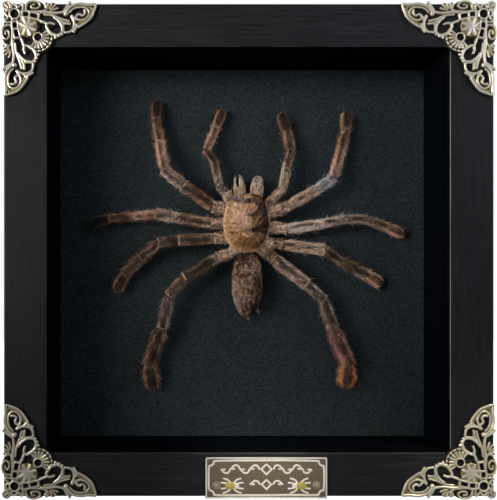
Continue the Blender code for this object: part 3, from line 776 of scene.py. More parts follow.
def spiral(centre: tuple[float, float], radii: tuple[float, float], turns: float, start: float) -> Loop:
    """A flattened spiral that winds in to its centre.

    Args:
        centre: Middle of the spiral.
        radii: Its outer radii along the two axes.
        turns: How many turns it makes.
        start: Angle in degrees at its outer end.

    Returns:
        Points from the outer end to the eye.
    """
    count = round(turns * 10)
    loop = []
    for i in range(count + 1):
        share = i / count
        angle = math.radians(start + 360 * turns * share)
        reach = 1 - 0.86 * share
        loop.append(
            (centre[0] + radii[0] * reach * math.cos(angle), centre[1] + radii[1] * reach * math.sin(angle))
        )
    return loop


def add_spline(curve: Curve, points: Iterable[Sequence[float]]) -> Spline:
    """Adds a smooth spline through points that are given in millimetres."""
    spline = curve.splines.new("BEZIER")
    places = [[value * MM for value in point] for point in points]
    spline.bezier_points.add(len(places) - 1)
    for knot, place in zip(spline.bezier_points, places):
        knot.co = place
        knot.handle_left_type = knot.handle_right_type = "AUTO"
    return spline


def stroke_tubes(name: str, strokes: Iterable[Stroke], y: float, flat: float = 1.0) -> Object:
    """Half-sunk tubes along flat routes.

    Args:
        name: Name of the new object.
        strokes: Routes in the XZ plane, in millimetres.
        y: The plane on which their middles lie, in metres.
        flat: How thick the tubes are for their width.

    Returns:
        One mesh of closed tubes.
    """
    curve = bpy.data.curves.new(name, "CURVE")
    curve.dimensions = "3D"
    curve.bevel_depth = MM
    curve.bevel_resolution = 2
    curve.resolution_u = 5
    curve.use_fill_caps = True
    for stroke in strokes:
        spline = add_spline(curve, [(x, 0.0, z) for x, z in stroke.route])
        last = max(1, len(stroke.route) - 1)
        for index, knot in enumerate(spline.bezier_points):
            knot.radius = stroke.radius * (1 + (stroke.tip - 1) * index / last)
    obj = new_object(name, curve)
    obj.scale.y = flat
    obj.location.y = y
    return as_mesh(obj)


def flat_sheet(name: str, loops: Sequence[Loop], back_y: float, thickness: float) -> Object:
    """A flat plate in the XZ plane, from its edge and its openings.

    Args:
        name: Name of the new object.
        loops: The edge first and then the openings, in millimetres.
        back_y: The plane of its back face, in metres.
        thickness: How far it stands in front of that plane, in metres.

    Returns:
        A closed mesh.
    """
    curve = bpy.data.curves.new(name, "CURVE")
    curve.dimensions = "2D"
    curve.fill_mode = "BOTH"
    curve.extrude = thickness / 2
    curve.resolution_u = 3
    for loop in loops:
        add_spline(curve, [(x, z, 0.0) for x, z in loop]).use_cyclic_u = True
    obj = new_object(name, curve)
    obj.rotation_euler = (math.radians(90), 0.0, 0.0)
    obj.location = (0.0, back_y - thickness / 2, 0.0)
    return as_mesh(obj)


def bead(place: tuple[float, float], radius: float, y: float, flat: float = 0.8) -> Object:
    """A round stud of brass, its middle on the plane y."""
    bpy.ops.mesh.primitive_uv_sphere_add(
        segments=14, ring_count=10, radius=radius * MM, location=(place[0] * MM, y, place[1] * MM),
        rotation=(math.radians(90), 0.0, 0.0), scale=(1.0, 1.0, flat),
    )
    return settle()


def ring(place: tuple[float, float], inner: float, outer: float, y: float) -> Object:
    """A raised ring round a hole."""
    bpy.ops.mesh.primitive_torus_add(
        major_segments=32, minor_segments=10, major_radius=(inner + outer) / 2 * MM,
        minor_radius=(outer - inner) / 2 * MM, location=(place[0] * MM, y, place[1] * MM),
        rotation=(math.radians(90), 0.0, 0.0),
    )
    return settle()


@dataclass
class FiligreeCorner:
    """A stamped filigree corner, drawn in millimetres along the arm and in from the frame's corner.

    Everything is drawn for one arm and mirrored to the other across the corner's diagonal.
    """

    sheet: float = 0.38 * MM
    relief: float = 0.24 * MM
    stand_off: float = 0.3 * MM
    voxel: float = 0.13 * MM
    ring_place: float = 4.6
    ring_radii: tuple[float, float] = (1.62, 2.45)
    star_place: float = 9.7
    star_radius: float = 4.2
    flower_place: float = 14.1
    flower_radii: tuple[float, float] = (1.42, 2.1)
    petal_reach: tuple[float, float] = (2.0, 4.7)
    block_reach: tuple[float, float] = (5.3, 5.9)
    block_radius: float = 0.74
    edge: Loop = field(
        default_factory=lambda: [
            (0.1, 0.1), (1.7, -0.4), (3.4, 0.5), (6.0, 1.0), (7.6, 0.2), (9.2, 0.9), (10.6, -0.4),
            (13.6, -0.7), (16.0, 0.3), (16.8, 1.6), (17.2, -0.2), (18.6, 0.4), (20.4, 0.0), (21.8, 1.1),
            (22.9, 2.2), (21.6, 3.5), (24.6, 3.3), (26.0, 0.9), (27.4, -0.4), (27.5, 0.9), (28.9, 0.7),
            (31.4, 0.1), (35.2, 0.7), (37.7, 0.4), (37.2, 3.5), (36.0, 6.2), (33.1, 8.9), (30.5, 10.4),
            (28.6, 12.7), (27.2, 12.0), (24.4, 12.7), (23.4, 14.2), (21.6, 14.4), (20.7, 15.6), (20.0, 17.5),
        ]
    )
    openings: dict[str, Loop] = field(
        default_factory=lambda: {
            "lattice_first": [(8.3, 3.8), (10.2, 4.1), (10.1, 5.7), (8.2, 5.4)],
            "lattice_second": [(11.3, 4.4), (13.6, 4.9), (13.3, 6.6), (11.2, 6.1)],
            "beside_star": [(15.1, 8.8), (17.1, 9.1), (17.3, 10.9), (17.7, 12.0), (16.0, 12.2), (15.0, 10.8)],
            "leaf": [
                (15.2, 5.4), (17.5, 5.4), (20.2, 6.4), (22.3, 8.4), (23.2, 10.7), (22.3, 12.2),
                (20.7, 12.1), (19.6, 10.9), (20.2, 9.9), (21.1, 9.2), (19.2, 8.2), (17.4, 8.0), (15.7, 7.0),
            ],
            "triangle": [(24.9, 9.1), (27.2, 9.3), (26.6, 11.2), (25.1, 11.4)],
            "almond": [
                (26.8, 4.4), (28.2, 3.0), (30.6, 2.2), (32.9, 2.2), (32.9, 3.9), (32.1, 5.0),
                (30.7, 4.5), (29.3, 5.9), (28.0, 5.2),
            ],
        }
    )
    strokes: list[Stroke] = field(
        default_factory=lambda: [
            # the leaf knot at the very corner, and the wavy edge beside it
            Stroke([(0.2, 0.2), (1.8, -0.1), (2.7, 0.9), (3.0, 2.4)], 0.3),
            Stroke([(0.3, 0.3), (1.4, 1.0), (2.2, 2.2)], 0.26),
            Stroke([(3.2, 2.2), (3.9, 0.9), (5.2, 1.2), (5.9, 2.0), (6.7, 1.5), (7.5, 0.6), (8.1, 1.6)], 0.3),
            Stroke([(8.1, 1.4), (7.8, 3.4), (7.7, 5.8)], 0.28),
            # the lattice of two squares
            Stroke([(6.7, 3.7), (8.9, 3.5), (11.0, 3.9), (14.5, 4.6)], 0.3),
            Stroke([(7.0, 5.8), (10.2, 6.1), (13.9, 7.0), (15.3, 7.5)], 0.3),
            Stroke([(10.8, 3.8), (10.5, 6.1)], 0.32), Stroke([(14.5, 4.5), (14.1, 7.0)], 0.34),
            Stroke([(15.0, 7.5), (17.6, 8.5)], 0.38),
            # the long leaf's border and the hooked scroll
            Stroke([(20.5, 5.9), (22.6, 7.6), (24.0, 10.2), (23.7, 12.4), (21.6, 13.5)], 0.38),
            Stroke(
                [(21.6, 13.5), (19.4, 12.5), (18.1, 10.8), (17.5, 9.2), (18.3, 8.4), (21.0, 8.9)], 0.46,
                0.7,
            ),
            # the stems and the ball that ties them
            Stroke([(15.0, 4.0), (17.8, 3.9), (20.9, 4.3), (24.6, 3.9)], 0.36),
            Stroke([(16.4, 4.9), (20.4, 5.4), (23.7, 6.7), (27.0, 7.6)], 0.3),
            Stroke([(21.8, 5.7), (24.4, 8.0), (27.2, 8.6)], 0.28),
            # the flat spiral over its base line
            Stroke([(9.2, 0.9), (9.2, 3.4)], 0.28),
            Stroke(spiral((12.6, 1.3), (3.4, 2.1), 1.4, 170.0), 0.3, 0.85),
            Stroke([(9.2, 3.4), (11.6, 3.75), (14.4, 3.6), (16.6, 3.3), (17.8, 2.2), (17.3, 0.9)], 0.3),
            # the side spike and the almond with its curled petal
            Stroke([(24.7, 3.7), (26.0, 1.5), (27.4, -0.3)], 0.4, 0.9),
            Stroke([(25.6, 3.6), (27.6, 1.6), (31.0, 0.6), (34.6, 0.9), (37.7, 0.7)], 0.4),
            Stroke([(37.7, 0.7), (36.9, 3.5), (35.8, 6.0), (33.1, 8.5), (30.4, 10.1)], 0.34),
            Stroke(
                [(26.9, 4.2), (28.4, 2.7), (31.0, 2.0), (33.5, 2.3), (34.8, 3.5), (34.7, 5.2), (33.2, 6.8)],
                0.3,
            ),
            Stroke([(33.2, 6.8), (31.3, 7.2), (29.2, 6.4), (27.6, 5.2)], 0.34),
            Stroke([(29.3, 6.2), (30.7, 4.8), (32.3, 5.3), (33.2, 4.1), (33.0, 2.9)], 0.34),
            # the triangle's frame, the spur and the scalloped edge
            Stroke([(27.8, 5.6), (28.8, 7.9), (27.9, 11.4), (24.7, 12.3)], 0.36),
            Stroke([(24.3, 8.7), (24.6, 12.2)], 0.3), Stroke([(24.2, 8.6), (27.4, 8.8)], 0.28),
            Stroke([(29.9, 9.8), (28.4, 12.3)], 0.36), Stroke([(28.9, 8.0), (30.6, 9.9)], 0.3),
        ]
    )
    # Broad flat leaves of the almond, between its border and its inner ridge
    leaves: list[Stroke] = field(
        default_factory=lambda: [
            Stroke([(36.6, 2.2), (35.9, 4.4), (34.3, 6.6), (31.7, 8.6), (29.8, 9.3)], 0.95, 0.8),
            Stroke([(29.4, 1.8), (32.6, 1.3), (35.9, 1.9)], 0.6),
        ]
    )
    leaf_flat: float = 0.3
    leaf_sink: float = 0.12 * MM
    broader: float = 1.55
    stroke_flat: float = 0.66
    star_lift: float = 0.36 * MM
    star_height: float = 0.2 * MM
    star_valley: float = 0.34 * MM
    foot_depth: float = 0.4 * MM
    foot_sink: float = 0.31 * MM
    rays_lift: float = 0.2 * MM
    recess_sink: float = 0.22 * MM
    ridge_lift: float = 0.36 * MM

    def sheet_loops(self) -> list[Loop]:
        """The edge and the openings, both arms."""
        far_side = [(inward, along) for along, inward in reversed(self.edge)]
        loops = [[*self.edge, (18.8, 18.8), *far_side[:-1]]]
        for opening in self.openings.values():
            loops += [opening, [(inward, along) for along, inward in reversed(opening)]]
        holes = ((self.ring_place, self.ring_radii[0]), (self.flower_place, self.flower_radii[0]))
        for place, radius in holes:
            loops.append([ray((place, place), 30 * i, [radius])[0] for i in range(12)])
        return loops

    def palmette(self) -> list[Stroke]:
        """A fan of five leaves at the frame's edge."""
        tips = [(16.9, 0.5), (18.2, 0.2), (19.8, 0.2), (21.3, 0.9), (22.4, 2.3)]
        root = (18.0, 3.4)
        made = []
        for x, z in tips:
            near = (root[0] * 0.75 + x * 0.25, root[1] * 0.72 + z * 0.28)
            middle = (root[0] * 0.45 + x * 0.55, root[1] * 0.55 + z * 0.45)
            made.append(Stroke([near, middle, (x, z)], 0.19, 1.7))
        return made

    def star(self, y: float) -> list[Object]:
        """A low eight-sided cone with a ridge to each corner and a valley between, on a round foot."""
        middle, radius = self.star_place * MM, self.star_radius * MM
        turn = (math.radians(90), math.radians(22.5), 0.0)
        bpy.ops.mesh.primitive_cone_add(
            vertices=16, radius1=radius, radius2=0.0, depth=self.star_height,
            location=(middle, y - self.star_lift, middle), rotation=turn,
        )
        cone = settle()
        points = read_points(cone.data)
        reach = np.hypot(points[:, 0] - middle, points[:, 2] - middle)
        angle = np.degrees(np.arctan2(points[:, 2] - middle, points[:, 0] - middle))
        is_valley = (reach > middle * 0.1) & (np.round(angle / 22.5).astype(int) % 2 == 0)
        points[is_valley, 1] += self.star_valley
        write_points(cone.data, points)
        bpy.ops.mesh.primitive_cylinder_add(
            vertices=16, radius=radius, depth=self.foot_depth,
            location=(middle, y + self.foot_sink, middle), rotation=turn,
        )
        foot = settle()
        reaches = (0.0, self.star_radius * 0.5, self.star_radius * 0.97)
        centre = (self.star_place, self.star_place)
        rays = [Stroke(ray(centre, 22.5 + 45 * i, reaches), 0.2, 1.3) for i in range(8)]
        return [cone, foot, stroke_tubes("star_rays", rays, y - self.rays_lift, self.stroke_flat)]

    def flower(self, y: float) -> list[Object]:
        """Petals and blocks that fan from the inner ring towards the opening."""
        centre = (self.flower_place, self.flower_place)

        def fan(
    name: str, count: int, step: float, reaches: Sequence[float], *shape: float
) -> Object:
            """Strokes that run out from the flower's middle, evenly about the corner's diagonal."""
            turns = [45 + (i - (count - 1) / 2) * step for i in range(count)]
            strokes = [Stroke(ray(centre, turn, reaches), *shape) for turn in turns]
            return stroke_tubes(name, strokes, y, self.stroke_flat)

        near, far = self.petal_reach
        made = [
            fan("petals", 9, 20.0, (near, (near + far) / 2, far), 0.36, 1.6),
            fan("blocks", 7, 19.0, self.block_reach, self.block_radius, 1.1),
        ]
        for along, inward, radius in ((22.6, 13.6, 0.62), (21.2, 14.3, 0.6), (24.0, 13.0, 0.5)):
            made += [bead((along, inward), radius, y), bead((inward, along), radius, y)]
        return made

    def build(self, places: Places) -> list[Object]:
        """Builds one corner, casts it into one body and copies it to the other three.

        Args:
            places: The frame that the corners lie on.

        Returns:
            The four corners.
        """
        back_y = places.front_y - self.stand_off
        front_y = back_y - self.sheet - self.relief
        strokes = [
            Stroke(stroke.route, stroke.radius * self.broader, stroke.tip)
            for stroke in (*self.strokes, *self.palmette())
        ]
        strokes += [stroke.mirrored() for stroke in strokes]
        leaves = [*self.leaves, *(leaf.mirrored() for leaf in self.leaves)]
        parts = [
            flat_sheet("sheet", self.sheet_loops(), back_y, self.sheet),
            stroke_tubes("strokes", strokes, front_y, self.stroke_flat),
            ring((self.ring_place,) * 2, *self.ring_radii, front_y),
            ring((self.flower_place,) * 2, *self.flower_radii, front_y),
            stroke_tubes("leaves", leaves, front_y + self.leaf_sink, self.leaf_flat), *self.star(front_y),
            *self.flower(front_y), *(bead(place, 0.95, front_y) for place in ((25.5, 4.6), (4.6, 25.5))),
        ]
        corner = join("filigree", parts)
        add_modifier(corner, "REMESH", mode="VOXEL", voxel_size=self.voxel, use_smooth_shade=True)
        add_modifier(corner, "SMOOTH", factor=0.5, iterations=2)
        add_modifier(corner, "DECIMATE", ratio=0.4)
        planes = (front_y + self.recess_sink, front_y - self.ridge_lift)
        finish = AntiqueBrass("rubbed_antique_brass", "antique_brass", *planes)
        placed = []
        for side, sign_x, sign_z in (
            ("top_left", -1, 1), ("top_right", 1, 1), ("bottom_left", -1, -1), ("bottom_right", 1, -1),
        ):
            twin = copy_of(corner)
            twin.name = twin.data.name = f"filigree_corner_{side}"
            twin.scale = (-sign_x, 1, -sign_z)
            middle_z = places.centre_z + sign_z * places.half_height
            twin.location = (sign_x * places.half_width, 0.0, middle_z)
            settle(twin)
            bpy.ops.object.mode_set(mode="EDIT")
            bpy.ops.mesh.select_all(action="SELECT")
            bpy.ops.mesh.normals_make_consistent(inside=False)
            bpy.ops.object.mode_set(mode="OBJECT")
            placed.append(hand_over(twin, finish, f"corner_{side}"))
        bpy.data.objects.remove(corner, do_unlink=True)
        return placed


@dataclass
class NamePlate:
    """The brass plate on the bottom rail: a raised border, plain scrollwork and two small spiders."""

    width: float = 49.6
    height: float = 17.0
    thick: float = 0.7 * MM
    rounded: float = 0.35 * MM
    border_lines: tuple[tuple[float, float, float], ...] = ((1.6, 2.0, 0.48), (0.45, 0.3, 0.36))
    rule_above: float = 3.6
    rule_half: float = 18.6
    lower_rule_below: float = -2.6
    lower_rule_half: float = 6.8
    figure_places: tuple[tuple[float, float, int], ...] = ((-13.9, -3.1, 1), (13.3, -3.1, -1))
    nail_spread: float = 20.3
    nail_drop: float = 3.0
    hole_radii: tuple[float, float] = (1.15, 1.65)
    hole_sink: float = 0.15 * MM

    def border(self, inset: float, notch: float, radius: float) -> Stroke:
        """A raised line round the plate, its corners cut by quarter circles."""
        half_width = self.width / 2 - inset
        half_height = self.height / 2 - inset
        loop = []
        for corner, (sign_x, sign_z) in enumerate(((1, -1), (1, 1), (-1, 1), (-1, -1))):
            steps = (0, 0.08, 0.35, 0.65, 0.92, 1)
            for share in reversed(steps) if corner % 2 == 0 else steps:
                angle = share * math.pi / 2
                loop.append(
                    (
                        sign_x * (half_width - notch * math.sin(angle)),
                        sign_z * (half_height - notch * math.cos(angle)),
                    )
                )
        return Stroke([*loop, loop[0]], radius)

    def scrollwork(self) -> list[Stroke]:
        """Two plain bands of ornament where such plates carry words."""
        made = []
        for above, half, size in (
            (self.rule_above, self.rule_half, 2.1), (self.lower_rule_below, self.lower_rule_half, 1.9),
        ):
            lozenge = [(0, size), (size, 0), (0, -size), (-size, 0), (0, size)]
            dense = [
                (a[0] + (b[0] - a[0]) * s, a[1] + (b[1] - a[1]) * s)
                for a, b in zip(lozenge, lozenge[1:])
                for s in (0, 0.12, 0.5, 0.88)
            ]
            made.append(Stroke([(x, above + z) for x, z in [*dense, dense[0]]], 0.42))
            count = max(1, round((half - size) / 4.2))
            step = (half - size - 0.8) / count
            for side in (-1, 1):
                for i in range(count):
                    near = size + 0.7 + i * step
                    wave = size * 0.72
                    flip = 1 if i % 2 == 0 else -1
                    crest = (near + step * 0.72, wave * flip * 0.75)
                    route = [
                        (near, 0.0), (near + step * 0.3, wave * flip), crest,
                        (near + step * 0.78, wave * flip * 0.05), (near + step * 0.5, wave * flip * 0.2),
                    ]
                    made.append(Stroke([(side * x, above + z) for x, z in route], 0.46, 0.8))
                    link = [crest, (near + step, 0.0)]
                    made.append(Stroke([(side * x, above + z) for x, z in link], 0.4))
        return made

    def spider_figure(self, place: tuple[float, float], y: float, facing: int) -> list[Object]:
        """A tiny stamped spider: eight bent legs, a round abdomen and a small head.

        Args:
            place: Its middle on the plate, in millimetres.
            y: The plate's face, in metres.
            facing: 1 if its head points right and -1 if left.

        Returns:
            The leg strokes and the body beads.
        """
        x, z = place
        legs = []
        for knee, tip in ((21, 15), (53, 39), (127, 141), (159, 165)):
            bends = [(reach, math.radians(turn)) for reach, turn in ((0.3, knee), (2.8, knee), (4.8, tip))]
            for side in (-1, 1):
                route = [(x + far * math.cos(turn), z + side * far * math.sin(turn)) for far, turn in bends]
                legs.append(Stroke(route, 0.42, 0.95))
        made = [stroke_tubes("figure_legs", legs, y, 0.7)]
        for along, radius in ((1.3, 1.15), (2.3, 0.7)):
            made.append(bead((x + facing * along, z), radius, y, 0.3))
        return made

    def build(self) -> None:
        """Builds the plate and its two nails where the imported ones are."""
        low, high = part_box("name_plate")
        centre_x, centre_z = (low.x + high.x) / 2, (low.z + high.z) / 2
        back_y = high.y
        face_y = back_y - self.thick
        bpy.ops.mesh.primitive_cube_add(
            size=1.0, location=(0.0, back_y - self.thick / 2, 0.0),
            scale=(self.width * MM, self.thick, self.height * MM),
        )
        sheet = settle()
        add_modifier(sheet, "BEVEL", width=self.rounded, segments=3, limit_method="ANGLE")
        strokes = [self.border(*line) for line in self.border_lines]
        parts = [sheet, stroke_tubes("plate_strokes", [*strokes, *self.scrollwork()], face_y, 0.6)]
        bellies = []
        for x, z, facing in self.figure_places:
            parts += self.spider_figure((x, z), face_y, facing)
            bellies += [bead((x - facing * along, z), 1.65, face_y, 0.3) for along in (0.2, 1.5)]
        for side in (-1, 1):
            hole = (side * self.nail_spread, -self.nail_drop)
            parts.append(ring(hole, *self.hole_radii, face_y + self.hole_sink))
        plate, gilt = join("plate_relief", parts), join("plate_gilt_bellies", bellies)
        for piece in (plate, gilt):
            piece.location = (centre_x, 0.0, centre_z)
            smooth(settle(piece))
        bronzed = AntiqueBrass(
            "rubbed_plate_brass", "plate_brass", face_y + 0.02 * MM, face_y - 0.2 * MM, recess="5a4e42",
            face="b3a288", ridge="fffaf0", rubbed=(0.5, 0.85), shine=0.3,
        )
        hand_over(plate, bronzed, "name_plate")
        gilded = AntiqueBrass(
            "gilt_brass", "plate_brass", face_y + 0.05 * MM, face_y - 0.5 * MM, recess="4f421c",
            face="93803a", ridge="cdbb62", rubbed=(0.55, 1.0), shine=0.3,
        )
        hand_over(gilt, gilded)
        for side, sign in (("left", -1), ("right", 1)):
            self.nail(f"plate_nail_{side}", centre_x + sign * self.nail_spread * MM, centre_z)

    def nail(self, node: str, x: float, plate_z: float) -> None:
        """A round-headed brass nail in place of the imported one."""
        low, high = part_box(node)
        z = plate_z - self.nail_drop * MM
        radius = (high.x - low.x) / 2
        bpy.ops.mesh.primitive_uv_sphere_add(
            segments=20, ring_count=12, radius=radius, location=(x, low.y + 0.45 * MM, z), scale=(1, 0.4, 1)
        )
        head = settle()
        bpy.ops.mesh.primitive_cone_add(
            vertices=12, radius1=0.6 * MM, radius2=0.15 * MM, depth=high.y - low.y - 0.5 * MM,
            location=(x, (low.y + high.y) / 2 + 0.2 * MM, z), rotation=(math.radians(-90), 0.0, 0.0),
        )
        nail = join(f"round_{node}", [head, settle()])
        planes = (low.y + 0.6 * MM, low.y)
        tones = {"recess": "241d14", "face": "5e523c", "ridge": "d8c9a2"}
        hand_over(smooth(nail), AntiqueBrass("nail_brass", "antique_brass", *planes, **tones), node)


# The tarantula


@dataclass
class LimbSegment:
    """One segment of a limb, between two joints, with its thickness and colour."""

    part: Part
    start: Vector
    end: Vector
    thickness: float
    tone: Tone
    before: Tone
    after: Tone
    bristly: float = 0.25


# Swelling of a segment along its length, as (share of the length, share of the half thickness)
SLEEVE = (
    (0, 0.6), (0.05, 0.8), (0.14, 0.95), (0.4, 1.02), (0.75, 0.96), (0.9, 0.99), (0.96, 1.05), (1, 0.86),
)
FOOT = ((0, 0.66), (0.06, 0.84), (0.25, 1.0), (0.6, 1.1), (0.8, 1.0), (0.92, 0.74), (1, 0.3))


@dataclass
class SpiderBody:
    """The dried tarantula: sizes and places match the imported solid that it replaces."""

    places: Places
    carapace_centre: tuple[float, float] = (1.1, 13.0)
    carapace_size: tuple[float, float] = (19.9, 24.8)
    carapace_heights: tuple[float, float] = (4.6, 12.6)
    carapace_front_share: float = 0.71
    carapace_blunt: tuple[float, float] = (5.0, 2.3)
    abdomen_centre: tuple[float, float] = (1.6, -14.6)
    abdomen_size: tuple[float, float, float] = (12.2, 27.6, 10.4)
    abdomen_blunt: tuple[float, float] = (3.0, 2.5)
    abdomen_back_share: float = 0.72
    abdomen_clear: float = 0.9
    abdomen_tilt: float = 2.0
    segment_sides: int = 28
    segment_rings: int = 29

    LEG_PARTS = tuple(Part)
    PALP_PARTS = tuple(part for part in Part if part is not Part.METATARSUS)

    # Joints of each limb from the body to its tip: right, above, in front of the board, and the
    # thickness of the segment that ends there
    LIMBS = {
        "palp_left": [
            (-4.6, 20.5, 6.0, 0.0), (-7.5, 25.9, 6.2, 5.2), (-10.9, 30.0, 6.6, 4.2), (-13.0, 39.4, 7.0, 3.6),
            (-16.4, 44.9, 5.8, 3.7), (-12.2, 55.3, 3.6, 3.8), (-8.7, 64.0, 2.5, 4.1),
        ],
        "leg_first_left": [
            (-3.0, 17.2, 6.0, 0.0), (-8.6, 19.4, 6.2, 5.6), (-13.4, 20.0, 6.8, 5.6),
            (-26.4, 29.0, 8.6, 5.6), (-34.9, 36.0, 8.2, 5.2), (-36.9, 48.8, 5.8, 4.4),
            (-38.7, 59.4, 3.8, 4.1), (-38.5, 68.0, 2.6, 4.5),
        ],
        "leg_second_left": [
            (-3.0, 12.4, 6.0, 0.0), (-9.4, 12.8, 6.2, 5.4), (-14.2, 12.7, 6.8, 5.0),
            (-28.6, 14.8, 8.6, 4.9), (-38.3, 16.8, 8.0, 4.9), (-48.1, 16.0, 5.6, 3.8),
            (-59.2, 15.2, 3.8, 4.0), (-67.4, 13.2, 2.6, 4.4),
        ],
        "leg_third_left": [
            (-2.6, 7.8, 6.0, 0.0), (-8.6, 6.2, 6.2, 5.4), (-12.8, 6.2, 6.8, 5.0),
            (-28.6, 5.1, 8.4, 4.9), (-37.2, 4.2, 7.8, 4.6), (-45.0, -2.4, 5.4, 4.3),
            (-52.6, -9.6, 3.6, 4.6), (-56.6, -17.8, 2.6, 5.0),
        ],
        "leg_fourth_left": [
            (-1.4, 3.6, 6.0, 0.0), (-6.2, -0.6, 6.2, 5.2), (-11.2, -2.2, 6.8, 5.0),
            (-26.2, -11.3, 8.6, 5.2), (-32.6, -18.9, 8.2, 4.9), (-36.0, -33.2, 5.6, 5.0),
            (-41.8, -49.8, 3.8, 5.6), (-40.0, -60.4, 2.8, 5.8),
        ],
        "palp_right": [
            (8.8, 19.6, 6.0, 0.0), (12.5, 23.0, 6.2, 4.4), (17.3, 27.8, 6.6, 3.7), (18.7, 36.8, 7.0, 3.8),
            (21.0, 44.7, 5.8, 4.1), (19.7, 53.4, 3.6, 4.5), (17.0, 62.6, 2.6, 4.8),
        ],
        "leg_first_right": [
            (6.6, 16.2, 6.0, 0.0), (13.2, 17.8, 6.2, 5.6), (19.4, 20.2, 6.8, 5.2),
            (31.3, 27.1, 8.6, 4.7), (39.0, 32.5, 8.2, 4.5), (43.0, 44.3, 5.8, 4.4),
            (45.8, 54.4, 3.8, 4.4), (46.4, 63.0, 2.6, 4.8),
        ],
        "leg_second_right": [
            (6.8, 11.4, 6.0, 0.0), (13.4, 11.1, 6.2, 5.6), (18.6, 10.2, 6.8, 5.2),
            (34.5, 12.3, 8.6, 4.9), (44.0, 14.4, 8.0, 4.3), (54.4, 14.5, 5.6, 4.0),
            (63.6, 11.5, 3.8, 4.3), (72.2, 7.9, 2.6, 4.5),
        ],
        "leg_third_right": [
            (6.4, 6.8, 6.0, 0.0), (12.2, 4.0, 6.2, 5.4), (16.6, 3.3, 6.8, 5.2),
            (35.0, 1.0, 8.4, 5.0), (42.7, -4.3, 7.8, 4.8), (49.0, -7.3, 5.4, 4.8),
            (55.6, -10.2, 3.6, 5.0), (62.3, -14.2, 2.8, 5.3),
        ],
        "leg_fourth_right": [
            (5.2, 3.4, 6.0, 0.0), (9.6, 0.2, 6.2, 5.2), (13.3, -2.8, 6.8, 5.2),
            (27.2, -14.1, 8.6, 5.8), (34.7, -20.7, 8.2, 4.8), (39.3, -33.2, 5.6, 5.2),
            (46.6, -49.3, 3.8, 6.2), (46.0, -59.4, 2.9, 6.4),
        ],
    }

    # Tone of each segment outwards from the trochanter; the coxae are all pale pink
    TONES = {
        "palp_left": "GREY_PURPLE GREY_BROWN DARK_BROWN ROSY_TAN BROWN",
        "leg_first_left": "PALE_PINK REDDISH GREY_PINK ROSY_TAN BROWN DARK_BROWN",
        "leg_second_left": "PALE_PINK UMBER GREY_PINK ROSY_TAN REDDISH DARK_BROWN",
        "leg_third_left": "PALE_PINK UMBER DARK_BROWN UMBER UMBER UMBER",
        "leg_fourth_left": "PALE_PINK DARK_OLIVE OLIVE_BROWN GREY_PURPLE UMBER BROWN",
        "palp_right": "PALE_TAN PALE_TAN OLIVE_BROWN BROWN DARK_BROWN",
        "leg_first_right": "PALE_PINK PALE_PINK BLUE_GREY ROSY_TAN BROWN UMBER",
        "leg_second_right": "PALE_PINK PALE_GREY GREY_PINK GREY_PINK GREY_BROWN ROSY_TAN",
        "leg_third_right": "OLIVE_BROWN PALE_PINK DARK_BROWN OLIVE GREY_BROWN ROSY_TAN",
        "leg_fourth_right": "OLIVE_BROWN GREY_PINK OLIVE_GREY OLIVE_GREY PINK_RED ORANGE",
    }

    # Grooves of the carapace that run out from its pit: clockwise angle in degrees from straight ahead,
    # depth in millimetres and how much darker, a darkening that is partly the cuticle's colour and partly
    # painted shade in the groove
    GROOVES = (
        (-131.0, 0.2, 0.5), (-113.0, 0.12, 0.3), (-97.0, 0.3, 1.0), (-84.0, 0.12, 0.35), (-71.0, 0.22, 0.8),
        (-58.0, 0.14, 0.5), (-44.0, 0.16, 0.3), (52.0, 0.2, 0.7), (68.0, 0.3, 0.9), (80.0, 0.6, 1.5),
        (94.0, 0.45, 1.4), (121.0, 0.2, 0.6), (148.0, 0.15, 0.5), (-158.0, 0.12, 0.4),
    )
    PALE_STREAKS = (24.0, 37.0, 45.0, 60.0)
    PIT = (0.1, -0.3)
    # Marks on the shield, from -1 to 1 across and along: the furrow beside the head, painted as shade, and
    # the pale V
    FURROW = ((0.12, 0.2), (0.36, 0.32), (0.6, 0.62))
    PALE_V = ((-0.2, -0.43), (-0.13, -0.44), (0.0, -0.52), (0.1, -0.48), (0.23, -0.41))
    EYE_MOUND = (0.02, 0.715)

    # Base and tip of each chelicera, its half thickness, and whether it is split by a slit
    CHELICERAE = {
        "left": ((-1.3, 22.0), (-2.2, 34.0), 2.65, True),
        "right": ((5.2, 22.0), (6.7, 33.7), 2.95, False),
    }

    def limb_segments(self, name: str) -> list[LimbSegment]:
        """The segments of one limb, with places in metres."""
        joints = self.LIMBS[name]
        parts = self.PALP_PARTS if name.startswith("palp") else self.LEG_PARTS
        tones = [Tone.PALE_PINK, *(Tone[word] for word in self.TONES[name].split())]
        made = []
        for index, (part, tone, near, far) in enumerate(zip(parts, tones, joints, joints[1:])):
            before, after = tones[max(0, index - 1)], tones[min(len(tones) - 1, index + 1)]
            bristly = 0.25
            if part in (Part.TIBIA, Part.METATARSUS):
                bristly = 0.6
            if name.startswith("leg_fourth") and part in (Part.METATARSUS, Part.TARSUS):
                bristly = 1.8
            if name.startswith("leg_third") and part in (Part.TIBIA, Part.METATARSUS):
                bristly = 1.2
            start, end = (self.places.on_board(*joint[:3]) for joint in (near, far))
            made.append(LimbSegment(part, start, end, far[3] * MM, tone, before, after, bristly))
        return made

